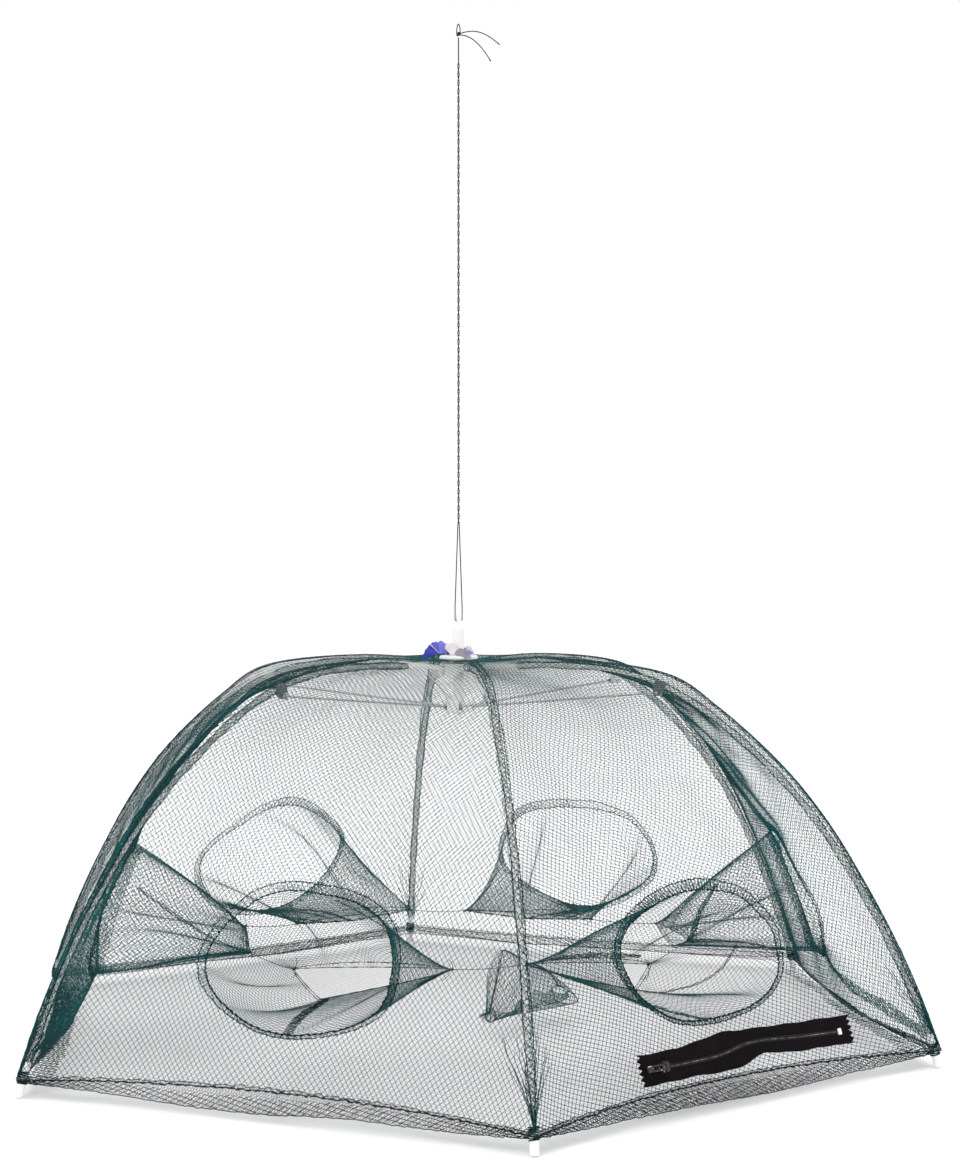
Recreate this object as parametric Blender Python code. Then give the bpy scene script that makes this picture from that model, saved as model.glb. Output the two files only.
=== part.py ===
"""Umbrella trap: a folding six-sided fish trap with a net over six ribs.

Metres, +Z up. The origin is on the ground, under the hub.
Rib 1 points to -Y, and the others follow counter-clockwise, seen from above.
"""

import math

import bmesh
import bpy
from mathutils import Matrix, Vector

# Counts and angles
SIDES = 6
ROUND = 30
STEP = 2 * math.pi / SIDES
FIRST_RIB = -math.pi / 2
GAP = 0.0003

# From the hub's middle out to the middle of a foot, and the reach that the lines below were drawn for
FOOT_REACH = 0.4470
DRAWN_REACH = 0.4470
WIDER = FOOT_REACH / DRAWN_REACH


def spread(line):
    """Radii and heights of a drawn line, widened with the part's reach."""
    return tuple((radius * WIDER, height) for radius, height in line)


# Hub crown, its cap and the post that slides through them
HUB_HINGE_R = 0.014
HUB_HINGE_Z = 0.3335
CROWN_R = 0.018
CROWN_LOW = 0.3275
CROWN_TOP = 0.3384
CROWN_ROOF = 0.0020
POST_R = 0.0052
BORE_R = POST_R + 0.0004
RING_WIRE_R = 0.0007
CHANNEL_R = RING_WIRE_R + GAP
CAP_R = 0.0180
CAP_NECK_R = 0.0085
CAP_LOW = CROWN_TOP + 0.0041
CAP_RIM = 0.0030
CAP_NECK = 0.0065
POST_LOW = 0.2905
POST_TOP = 0.3860
POST_SHOULDER = POST_TOP - 0.0160
EYE_Z = POST_TOP - 0.0070
EYE_R = 0.0028
EYE_THICK = 0.0044

# Runner at the foot of the post
RUNNER_R = 0.0150
RUNNER_HINGE_R = 0.012
RUNNER_Z = 0.2980
RUNNER_LOW = RUNNER_Z - 0.0050
RUNNER_TOP = RUNNER_Z + 0.0055

# Ribs, clips, feet and stretchers
ROD_R = 0.00175
ROD_EYE_R = 0.0026
ROD_EYE_HOLE = 0.0012
ROD_EYE_WIDTH = 0.0034
ROD_RINGS = (0.0, 0.8, 1.6, 2.4, 3.2, 3.84, 4.16, 4.9, 5.7, 6.5, 7.4, 8.3, 9.3, 10.2, 11.0)
CLIP_RINGS = (5, 6)
DRAWN_ROD = (
    (0.0500, 0.3368), (0.1000, 0.3385), (0.1500, 0.3352), (0.1970, 0.3230),
    (0.2455, 0.2956), (0.3028, 0.2478), (0.3449, 0.2003), (0.3802, 0.1475),
    (0.4048, 0.1030), (0.4252, 0.0605), (0.4390, 0.0283),
)
ROD_PATH = spread(DRAWN_ROD)
FOOT_TIP = (FOOT_REACH, 0.0)
FOOT_R = 0.0035
FOOT_LENGTH = 0.0300
CLIP_LENGTH = 0.0160
CLIP_WIDTH = 0.0082
CLIP_ABOVE = 0.0032
CLIP_BELOW = 0.0115
CLIP_PIVOT_DROP = 0.0080
RIVET_R = 0.0016
WIRE_R = 0.0010
WIRE_EYE_R = 0.0022
WIRE_EYE_HOLE = 0.0011
WIRE_EYE_WIDTH = 0.0024
WIRE_END_R = 0.0032
WIRE_END_WIDTH = 0.0020
WIRE_OFFSET = CLIP_WIDTH / 2 + 0.0004 + WIRE_END_WIDTH / 2
SLOT_CLEAR = 0.0005

# Net: the line over a rib and the line half-way to the next rib, as radius and height
DRAWN_NET_RIB = (
    (0.0135, 0.3406), (0.1000, 0.3450), (0.2000, 0.3340), (0.2515, 0.3040), (0.3095, 0.2545),
    (0.3515, 0.2050), (0.3860, 0.1505), (0.4110, 0.1050), (0.4310, 0.0620), (0.4490, 0.0150),
)
DRAWN_NET_MID = (
    (0.0117, 0.3406), (0.0850, 0.3420), (0.1650, 0.3210), (0.2150, 0.2940), (0.2620, 0.2450),
    (0.2900, 0.1940), (0.3130, 0.1460), (0.3300, 0.1030), (0.3450, 0.0630), (0.3600, 0.0155),
)
NET_RIB = spread(DRAWN_NET_RIB)
NET_MID = spread(DRAWN_NET_MID)
UPPER_ROWS = (0.0, 1.5, 3.3)
HOLE_PLACE_TOP = 5.37
HOLE_PLACE_LOW = 8.02
HOLE_STEPS = 4
NET_THICK = 0.0012
NET_STRAND = 0.0016
HOLE_HALF_WIDTH = 0.087
FLOOR_Z = 0.0120
DRAWN_FLOOR_MID = 0.3790
FLOOR_MID = DRAWN_FLOOR_MID * WIDER
FLOOR_CELLS = 3
DRAWN_TIPS = (
    (0.100, 0.071), (0.190, 0.079), (0.040, 0.105), (0.085, 0.099), (0.190, 0.079), (0.035, 0.062),
)
FUNNEL_TIP = spread(DRAWN_TIPS)
FUNNEL_SLIT = (0.0200, 0.0050)
FUNNEL_AROUND = 2 * HOLE_STEPS

# Cloth rosette under the cap
ROSETTE_IN = 0.0075
ROSETTE_OUT = 0.0320
ROSETTE_Z = CROWN_TOP + 0.0037
ROSETTE_THICK = 0.0005
ROSETTE_PLEATS = 9

# Pull string
CORD_R = 0.0006
CORD_TWIST_LOW = 0.477
CORD_TWIST_TOP = 0.898
CORD_TOP = 0.9235
CORD_APART = 0.0033
CORD_LAY = 0.00085
CORD_PITCH = 0.140
KNOT_R = 0.0028
TAILS = (((0.038, -0.004, -0.010), 0.004, 0.0007), ((0.031, 0.005, -0.022), 0.001, -0.0009))

# Zip on the wall between ribs 1 and 2
ZIP_LEFT = -0.104
ZIP_RIGHT = 0.136
ZIP_Z = 0.0400
ZIP_WIDTH = 0.0250
ZIP_THICK = 0.0010
DRAWN_STAND_OFF = 0.3644
ZIP_STAND_OFF = DRAWN_STAND_OFF * WIDER
ZIP_TILT = math.radians(20)
ZIP_TEETH = 5
ZIP_WAVE = 0.0008
ZIP_DIP = 0.0016
ZIP_TOOTH = 0.0040
COIL_WIDTH = 0.0036
COIL_HEIGHT = 0.0014
COIL_ENDS = 0.0180
STOP_LENGTH = 0.0036
STOP_WIDTH = 0.0052
STOP_HEIGHT = 0.0022
SLIDER_LENGTH = 0.0110
SLIDER_WIDTH = 0.0085
SLIDER_HEIGHT = 0.0042
PIN_RISE = 0.0017
PULL_LENGTH = 0.0210
PULL_WIDTH = 0.0050
PULL_THICK = 0.0009

# Bait bag on the floor, seen from above
BAG_LEFT = (0.024, -0.060)
BAG_RIGHT = (0.098, 0.038)
BAG_HALF_THICK = 0.016
BAG_HEIGHT = 0.056


def clear_scene():
    for old in list(bpy.data.objects):
        bpy.data.objects.remove(old, do_unlink=True)


def material(name, color, roughness, metallic=0.0):
    """A Principled material with one colour."""
    mat = bpy.data.materials.new(name)
    mat.use_nodes = True
    shader = mat.node_tree.nodes["Principled BSDF"]
    shader.inputs["Base Color"].default_value = (*color, 1.0)
    shader.inputs["Roughness"].default_value = roughness
    shader.inputs["Metallic"].default_value = metallic
    return mat


def add_object(name, mesh, mat, place=None, smooth=False):
    """Link a mesh as a named object with its own material."""
    obj = bpy.data.objects.new(name, mesh)
    bpy.context.scene.collection.objects.link(obj)
    if not mesh.materials:
        mesh.materials.append(None)
    obj.material_slots[0].link = "OBJECT"
    obj.material_slots[0].material = mat
    if place is not None:
        obj.matrix_world = place
    if smooth:
        mesh.shade_smooth()
    return obj


def mesh_from(name, points, faces):
    """A closed mesh with its faces turned outward."""
    mesh = bpy.data.meshes.new(name)
    mesh.from_pydata([tuple(p) for p in points], [], faces)
    bm = bmesh.new()
    bm.from_mesh(mesh)
    bmesh.ops.recalc_face_normals(bm, faces=bm.faces)
    bm.to_mesh(mesh)
    bm.free()
    return mesh


def turn_to_rib(index, about=(0.0, 0.0)):
    """From a rib's own frame, x outward, y along the turn, to the part's frame."""
    turn = Matrix.Rotation(FIRST_RIB + index * STEP, 4, "Z")
    return turn @ Matrix.Translation((about[0], 0.0, about[1]))


def turned_rings(profile, segments):
    """Points and faces of a body of revolution from a closed outline of radius and height."""
    points = []
    faces = []
    count = len(profile)
    for s in range(segments):
        angle = 2 * math.pi * s / segments
        for radius, height in profile:
            points.append((radius * math.cos(angle), radius * math.sin(angle), height))
    for s in range(segments):
        here = s * count
        there = ((s + 1) % segments) * count
        for i in range(count):
            j = (i + 1) % count
            faces.append((here + i, there + i, there + j, here + j))
    return points, faces


def solid_turned(profile, segments):
    """A full body of revolution; the outline starts and ends on the axis."""
    points = [(0.0, 0.0, profile[0][1])]
    faces = []
    inner = profile[1:-1]
    for s in range(segments):
        angle = 2 * math.pi * s / segments
        for radius, height in inner:
            points.append((radius * math.cos(angle), radius * math.sin(angle), height))
    points.append((0.0, 0.0, profile[-1][1]))
    last = len(points) - 1
    count = len(inner)
    for s in range(segments):
        here = 1 + s * count
        there = 1 + ((s + 1) % segments) * count
        faces.append((0, there, here))
        for i in range(count - 1):
            faces.append((here + i, there + i, there + i + 1, here + i + 1))
        faces.append((here + count - 1, there + count - 1, last))
    return points, faces


def torus(radius, wire, height, around=ROUND, section=6):
    """Points and faces of a wire ring."""
    profile = []
    for i in range(section):
        angle = 2 * math.pi * (i + 0.5) / section
        profile.append((radius + wire * math.cos(angle), height + wire * math.sin(angle)))
    return turned_rings(profile, around)


def box(low, high):
    """Points and faces of a box."""
    x0, y0, z0 = low
    x1, y1, z1 = high
    points = [(x, y, z) for x in (x0, x1) for y in (y0, y1) for z in (z0, z1)]
    faces = [(0, 1, 3, 2), (4, 6, 7, 5), (0, 4, 5, 1), (2, 3, 7, 6), (0, 2, 6, 4), (1, 5, 7, 3)]
    return points, faces


def tube(path, radius, sides, start_normal=(0.0, 1.0, 0.0)):
    """A round tube with flat ends along a path; radius is one value or one for each point."""
    path = [Vector(p) for p in path]
    radii = list(radius) if isinstance(radius, (list, tuple)) else [radius] * len(path)
    side = Vector(start_normal)
    points = []
    faces = []
    for i, here in enumerate(path):
        before = path[max(i - 1, 0)]
        after = path[min(i + 1, len(path) - 1)]
        along = (after - before).normalized()
        side = (side - along * side.dot(along)).normalized()
        up = along.cross(side)
        for s in range(sides):
            angle = 2 * math.pi * (s + 0.5) / sides
            points.append(here + radii[i] * (math.cos(angle) * side + math.sin(angle) * up))
    for i in range(len(path) - 1):
        for s in range(sides):
            t = (s + 1) % sides
            faces.append((i * sides + s, i * sides + t, (i + 1) * sides + t, (i + 1) * sides + s))
    faces.append(tuple(range(sides - 1, -1, -1)))
    faces.append(tuple((len(path) - 1) * sides + s for s in range(sides)))
    return points, faces


def disc_across(center, radius, width, sides=10):
    """A short cylinder along y, as at a hinge."""
    x, y, z = center
    path = [(x, y - width / 2, z), (x, y + width / 2, z)]
    return tube(path, radius, sides, (1.0, 0.0, 0.0))


def on_line(knots, place):
    """The point at a fractional place along a smooth line of radius and height."""
    line = [Vector(k) for k in knots]
    full = [line[0] * 2 - line[1]] + line + [line[-1] * 2 - line[-2]]
    i = min(int(place), len(line) - 2)
    t = place - i
    a, b, c, d = full[i], full[i + 1], full[i + 2], full[i + 3]
    square = 2 * a - 5 * b + 4 * c - d
    cube = 3 * b - a - 3 * c + d
    return 0.5 * (2 * b + (c - a) * t + square * t * t + cube * t ** 3)


def boolean(obj, shapes, operation, name):
    """Cut or join simple shapes; each is points and faces in the object's own frame."""
    for i, (points, faces) in enumerate(shapes):
        tool = bpy.data.objects.new(f"{name}_{i}", mesh_from(f"{name}_{i}", points, faces))
        bpy.context.scene.collection.objects.link(tool)
        tool.matrix_world = obj.matrix_world
        tool.display_type = "WIRE"
        tool.hide_render = True
        step = obj.modifiers.new(f"{operation.lower()} {i}", "BOOLEAN")
        step.operation = operation
        step.solver = "EXACT"
        step.object = tool


def apply_booleans(obj):
    """Turn the boolean result into the object's mesh, so that copies can share it."""
    graph = bpy.context.evaluated_depsgraph_get()
    done = bpy.data.meshes.new_from_object(obj.evaluated_get(graph))
    done.name = obj.data.name
    tools = [m.object for m in obj.modifiers if m.type == "BOOLEAN"]
    obj.modifiers.clear()
    obj.data = done
    for tool in tools:
        bpy.data.objects.remove(tool, do_unlink=True)


def round_corners(obj, width, angle=40):
    """Small bevels on the sharp edges."""
    step = obj.modifiers.new("rounding", "BEVEL")
    step.width = width
    step.segments = 1
    step.limit_method = "ANGLE"
    step.angle_limit = math.radians(angle)


def radial_slots(inner, outer, width, low, high):
    """Six boxes, one for each rib, as one shape."""
    points = []
    faces = []
    for k in range(SIDES):
        turn = Matrix.Rotation(FIRST_RIB + k * STEP, 4, "Z")
        corner, sides = box((inner, -width / 2, low), (outer, width / 2, high))
        base = len(points)
        points += [turn @ Vector(p) for p in corner]
        faces += [tuple(base + i for i in f) for f in sides]
    return points, faces


def lattice(name, points, polygons, thick, strand):
    """An open net: each polygon becomes one gap between flat strands."""
    points = [Vector(p) for p in points]
    normals = [Vector((0.0, 0.0, 0.0)) for _ in points]
    face_normals = []
    for poly in polygons:
        total = Vector((0.0, 0.0, 0.0))
        for i, a in enumerate(poly):
            b = poly[(i + 1) % len(poly)]
            total += points[a].cross(points[b])
        face_normals.append(total.normalized())
        for a in poly:
            normals[a] += total
    normals = [n.normalized() for n in normals]
    edge_count = {}
    for poly in polygons:
        for i, a in enumerate(poly):
            key = frozenset((a, poly[(i + 1) % len(poly)]))
            edge_count[key] = edge_count.get(key, 0) + 1
    half = thick / 2
    out = [p + n * half for p, n in zip(points, normals)]
    out += [p - n * half for p, n in zip(points, normals)]
    low = len(points)
    faces = []
    for poly, face_normal in zip(polygons, face_normals):
        count = len(poly)
        offsets = []
        for i in range(count):
            a = points[poly[i]]
            b = points[poly[(i + 1) % count]]
            own = edge_count[frozenset((poly[i], poly[(i + 1) % count]))]
            inward = face_normal.cross(b - a).normalized()
            offsets.append(inward * (strand / 2 if own == 2 else strand))
        first = len(out)
        for i in range(count):
            before, after = offsets[i - 1], offsets[i]
            u, v = before.normalized(), after.normalized()
            det = max(1 - u.dot(v) ** 2, 1e-9)
            if det < 0.02:
                shift = (before + after) / 2
            else:
                p = (before.length - after.length * u.dot(v)) / det
                q = (after.length - before.length * u.dot(v)) / det
                shift = u * p + v * q
            corner = points[poly[i]] + shift
            out.append(corner + normals[poly[i]] * half)
        for i in range(count):
            out.append(out[first + i] - normals[poly[i]] * thick)
        for i in range(count):
            j = (i + 1) % count
            a, b = poly[i], poly[j]
            faces.append((a, b, first + j, first + i))
            faces.append((low + b, low + a, first + count + i, first + count + j))
            faces.append((first + i, first + j, first + count + j, first + count + i))
            if edge_count[frozenset((a, b))] == 1:
                faces.append((b, a, low + a, low + b))
    return mesh_from(name, out, faces)


def diamonds(rows, columns, closed=False):
    """Diamond faces of a grid, as lists of (row, column); border points stay in."""
    faces = []
    for i in range(rows + 1):
        for j in range(columns if closed else columns + 1):
            if (i + j) % 2 == 0:
                continue
            ring = [(i - 1, j), (i, j + 1), (i + 1, j), (i, j - 1)]
            face = []
            for n, (r, c) in enumerate(ring):
                c = c % columns if closed else c
                if 0 <= r <= rows and 0 <= c <= columns:
                    face.append((r, c))
                else:
                    face.append((i, j))
            faces.append(face)
    return faces


def panel_point(place, across):
    """A wall point in its panel's frame: x out, y along, z up; across is 0 half-way and 1 at the rib."""
    rib = on_line(NET_RIB, place)
    mid = on_line(NET_MID, place)
    half = rib[0] * math.sin(STEP / 2)
    flat = rib[0] * math.cos(STEP / 2)
    share = across * across
    return Vector((mid[0] + (flat - mid[0]) * share, half * across, mid[1] + (rib[1] - mid[1]) * share))


def hole_place(angle):
    """How far down the net's lines an entrance's rim is; angle 0 is its top."""
    middle = (HOLE_PLACE_TOP + HOLE_PLACE_LOW) / 2
    return middle - (HOLE_PLACE_LOW - HOLE_PLACE_TOP) / 2 * math.cos(angle)


def hole_edge(angle, inset=0.0):
    """A point of an entrance's rim in its panel's frame."""
    place = hole_place(angle)
    half = on_line(NET_RIB, place)[0] * math.sin(STEP / 2)
    width = HOLE_HALF_WIDTH * math.sin(angle)
    point = panel_point(place, abs(width) / half)
    point.y = math.copysign(point.y, width)
    if inset:
        away = point - panel_point(hole_place(math.pi / 2), 0.0)
        point = point - away.normalized() * inset
    return point


def wall_rows():
    """Places of the rows of a wall, with the angle of the entrance's rim where a row meets it."""
    rows = [(place, None) for place in UPPER_ROWS]
    for i in range(HOLE_STEPS + 1):
        angle = math.pi * i / HOLE_STEPS
        rows.append((hole_place(angle), angle))
    rows.append((float(len(NET_RIB) - 1), None))
    return rows


def half_wall(side):
    """Grid points of the half wall on one side of a rib, and those between its rows, in the rib's frame."""
    to_rib = Matrix.Rotation(side * STEP / 2, 4, "Z")
    rows = wall_rows()
    grid = {}
    between = {}

    def place_point(point):
        return to_rib @ Vector((point.x, -side * abs(point.y), point.z))

    for i, (place, angle) in enumerate(rows):
        half = on_line(NET_RIB, place)[0] * math.sin(STEP / 2)
        edge = GAP / 2 / half
        if angle is not None:
            edge = max(edge, hole_edge(angle).y / half)
        for j in range(3):
            grid[(i, j)] = place_point(panel_point(place, 1 - (1 - edge) * j / 2))
        if i + 1 < len(rows):
            after = rows[i + 1]
            if angle is not None and after[1] is not None:
                between[(i, 2)] = place_point(hole_edge((angle + after[1]) / 2))
            if i < len(UPPER_ROWS):
                between[(i, 0)] = place_point(panel_point((place + after[0]) / 2, 1.0))
    return grid, between


def wall_mesh(name):
    """One wall section: a rib's net with half an entrance at each edge."""
    rows = len(wall_rows()) - 1
    points = []
    index = {}
    polygons = []

    def number(key, point):
        if key not in index:
            index[key] = len(points)
            points.append(point)
        return index[key]

    for side in (1, -1):
        grid, between = half_wall(side)
        for face in diamonds(rows, 2):
            poly = []
            for n, (i, j) in enumerate(face):
                poly.append(number((side if j else 0, i, j), grid[(i, j)]))
                after = face[(n + 1) % len(face)]
                extra = (min(i, after[0]), j)
                if after[1] == j and abs(after[0] - i) == 1 and extra in between:
                    poly.append(number((side if j else 0, "between", extra), between[extra]))
            polygons.append(poly if side == 1 else poly[::-1])
    return lattice(name, points, polygons, NET_THICK, NET_STRAND)


def floor_mesh(name):
    """One floor section: from the middle out to a foot, in the rib's frame."""
    foot_axis = foot_center(FLOOR_Z)
    foot = Vector((foot_axis - FOOT_R - 0.0010, 0.0, FLOOR_Z))
    middle = Vector((GAP, 0.0, FLOOR_Z))
    to_side = {s: Matrix.Rotation(s * STEP / 2, 4, "Z") @ Vector((FLOOR_MID, 0.0, FLOOR_Z)) for s in (1, -1)}
    shrink = Vector((0.0, GAP / 2, 0.0))
    left = to_side[1] - shrink
    right = to_side[-1] + shrink
    points = []
    for i in range(FLOOR_CELLS + 1):
        for j in range(FLOOR_CELLS + 1):
            u, v = i / FLOOR_CELLS, j / FLOOR_CELLS
            near = middle * (1 - v) + right * v
            far = left * (1 - v) + foot * v
            points.append(near * (1 - u) + far * u)
    polygons = []
    step = FLOOR_CELLS + 1
    for i in range(FLOOR_CELLS):
        for j in range(FLOOR_CELLS):
            a = i * step + j
            polygons.append((a, a + step, a + step + 1, a + 1))
    return lattice(name, points, polygons, NET_THICK, NET_STRAND)


def funnel_mesh(name, tip):
    """One entrance funnel, from the rim of the entrance to its slit, in the panel's frame."""
    tip_center = Vector((tip[0], 0.0, tip[1]))
    inset = NET_THICK / 2 + GAP + 0.0002
    rings = []
    for row in range(3):
        ring = []
        for s in range(FUNNEL_AROUND * 2):
            angle = 2 * math.pi * s / (FUNNEL_AROUND * 2)
            mouth = hole_edge(angle, inset)
            opening = Vector((0.0, FUNNEL_SLIT[0] * math.sin(angle), FUNNEL_SLIT[1] * math.cos(angle)))
            slit = tip_center + opening
            share = (0.0, 0.56, 1.0)[row]
            drawn = 1 - (1 - share) ** 1.35
            point = mouth.lerp(slit, drawn)
            point.x = mouth.x + (slit.x - mouth.x) * share
            ring.append(point)
        rings.append(ring)
    points = []
    index = {}

    def number(row, s):
        key = (row, s % (FUNNEL_AROUND * 2))
        if key not in index:
            index[key] = len(points)
            points.append(rings[row][key[1]])
        return index[key]

    polygons = []
    for face in diamonds(2, FUNNEL_AROUND, closed=True):
        poly = []
        for n, (i, j) in enumerate(face):
            poly.append(number(i, 2 * j))
            after = face[(n + 1) % len(face)]
            if i == after[0] and i in (0, 2):
                step = 1 if (after[1] - j) % FUNNEL_AROUND == 1 else -1
                poly.append(number(i, 2 * j + step))
        polygons.append(poly)
    return lattice(name, points, polygons, NET_THICK, NET_STRAND)


def foot_center(height):
    """Radius of a foot tube's centre line at a height."""
    x0, z0 = ROD_PATH[-1]
    x1, z1 = FOOT_TIP
    return x1 + (x0 - x1) * (height - z1) / (z0 - z1)


def build_hub(mats):
    """Crown, hinge ring, cap and cloth rosette."""
    outline = [
        (BORE_R, CROWN_LOW), (CROWN_R - 0.001, CROWN_LOW), (CROWN_R, CROWN_LOW + 0.001),
        (CROWN_R, CROWN_TOP - 0.001), (CROWN_R - 0.001, CROWN_TOP), (BORE_R, CROWN_TOP),
    ]
    crown = add_object("hub_crown", mesh_from("hub_crown", *turned_rings(outline, ROUND)), mats["white"])
    slots = radial_slots(
        0.0092, CROWN_R + 0.002, ROD_EYE_WIDTH + 2 * SLOT_CLEAR, CROWN_LOW - 0.001, CROWN_TOP - CROWN_ROOF
    )
    channel = torus(HUB_HINGE_R, CHANNEL_R, HUB_HINGE_Z)
    boolean(crown, [slots, channel], "DIFFERENCE", "crown_cut")
    apply_booleans(crown)
    ring = mesh_from("hub_hinge_ring", *torus(HUB_HINGE_R, RING_WIRE_R, HUB_HINGE_Z))
    add_object("hub_hinge_ring", ring, mats["steel"], smooth=True)

    outline = [
        (BORE_R, CAP_LOW), (CAP_R - 0.0006, CAP_LOW), (CAP_R, CAP_LOW + 0.0006),
        (CAP_R, CAP_LOW + CAP_RIM - 0.001), (CAP_R - 0.001, CAP_LOW + CAP_RIM),
        (CAP_NECK_R + 0.001, CAP_LOW + CAP_RIM), (CAP_NECK_R, CAP_LOW + CAP_RIM + 0.001),
        (CAP_NECK_R - 0.0006, CAP_LOW + CAP_NECK), (BORE_R, CAP_LOW + CAP_NECK),
    ]
    cap = mesh_from("hub_cap", *turned_rings(outline, ROUND))
    add_object("hub_cap", cap, mats["white"], smooth=False)

    around = ROSETTE_PLEATS * 4
    radii = (ROSETTE_IN, CAP_R + 0.0006, 0.025, ROSETTE_OUT)
    points = []
    faces = []
    for top in (1, 0):
        for s in range(around):
            angle = 2 * math.pi * s / around
            wave = 0.5 + 0.5 * math.cos(ROSETTE_PLEATS * angle)
            for n, radius in enumerate(radii):
                share = max(0.0, (radius - radii[1]) / (ROSETTE_OUT - radii[1]))
                rim = radius + (0.0015 * wave if n == 3 else 0.0)
                height = ROSETTE_Z + share * (0.0060 + 0.0060 * wave) - (1 - top) * ROSETTE_THICK
                points.append((rim * math.cos(angle), rim * math.sin(angle), height))
    rows = len(radii)
    layer = around * rows
    for s in range(around):
        t = (s + 1) % around
        for n in range(rows - 1):
            a, b = s * rows + n, t * rows + n
            faces.append((a, a + 1, b + 1, b))
            faces.append((layer + a, layer + b, layer + b + 1, layer + a + 1))
        faces.append((s * rows, t * rows, layer + t * rows, layer + s * rows))
        last = rows - 1
        faces.append((s * rows + last, layer + s * rows + last, layer + t * rows + last, t * rows + last))
    add_object("cloth_rosette", mesh_from("cloth_rosette", points, faces), mats["cloth"], smooth=True)


def build_post(mats):
    """Pull post with its eye, and the runner on its foot."""
    outline = [
        (0.0, POST_LOW), (POST_R - 0.0006, POST_LOW), (POST_R, POST_LOW + 0.0006), (POST_R, POST_SHOULDER),
        (POST_R - 0.0004, POST_SHOULDER + 0.004), (POST_R - 0.0008, POST_TOP - 0.003),
        (POST_R - 0.0026, POST_TOP - 0.0006), (0.0, POST_TOP),
    ]
    post = add_object("pull_post", mesh_from("pull_post", *solid_turned(outline, 24)), mats["white"])
    flats = []
    for side in (-1, 1):
        x = sorted((side * EYE_THICK / 2, side * 0.01))
        flats.append(box((x[0], -0.01, POST_SHOULDER + 0.001), (x[1], 0.01, POST_TOP + 0.002)))
    hole = tube([(-0.01, 0.0, EYE_Z), (0.01, 0.0, EYE_Z)], EYE_R, 20)
    boolean(post, flats + [hole], "DIFFERENCE", "post_cut")
    apply_booleans(post)

    outline = [
        (POST_R + GAP, RUNNER_LOW), (RUNNER_R - 0.001, RUNNER_LOW), (RUNNER_R, RUNNER_LOW + 0.001),
        (RUNNER_R, RUNNER_TOP - 0.001), (RUNNER_R - 0.001, RUNNER_TOP), (POST_R + GAP, RUNNER_TOP),
    ]
    runner = add_object("runner", mesh_from("runner", *turned_rings(outline, ROUND)), mats["white"])
    slots = radial_slots(
        0.0080, RUNNER_R + 0.002, WIRE_EYE_WIDTH + 2 * SLOT_CLEAR,
        RUNNER_Z - WIRE_EYE_R - SLOT_CLEAR, RUNNER_TOP + 0.001,
    )
    channel = torus(RUNNER_HINGE_R, CHANNEL_R, RUNNER_Z)
    boolean(runner, [slots, channel], "DIFFERENCE", "runner_cut")
    apply_booleans(runner)
    ring = mesh_from("runner_hinge_ring", *torus(RUNNER_HINGE_R, RING_WIRE_R, RUNNER_Z))
    add_object("runner_hinge_ring", ring, mats["steel"], smooth=True)


def rod_path():
    """Centre line of a rib, in its own frame, from its hinge; it is straight inside the clip."""
    knots = [(HUB_HINGE_R, 0.0, HUB_HINGE_Z)]
    knots += [(x, 0.0, z) for x, z in ROD_PATH]
    shift = Vector((HUB_HINGE_R, 0.0, HUB_HINGE_Z))
    return [on_line(knots, place) - shift for place in ROD_RINGS]


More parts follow.
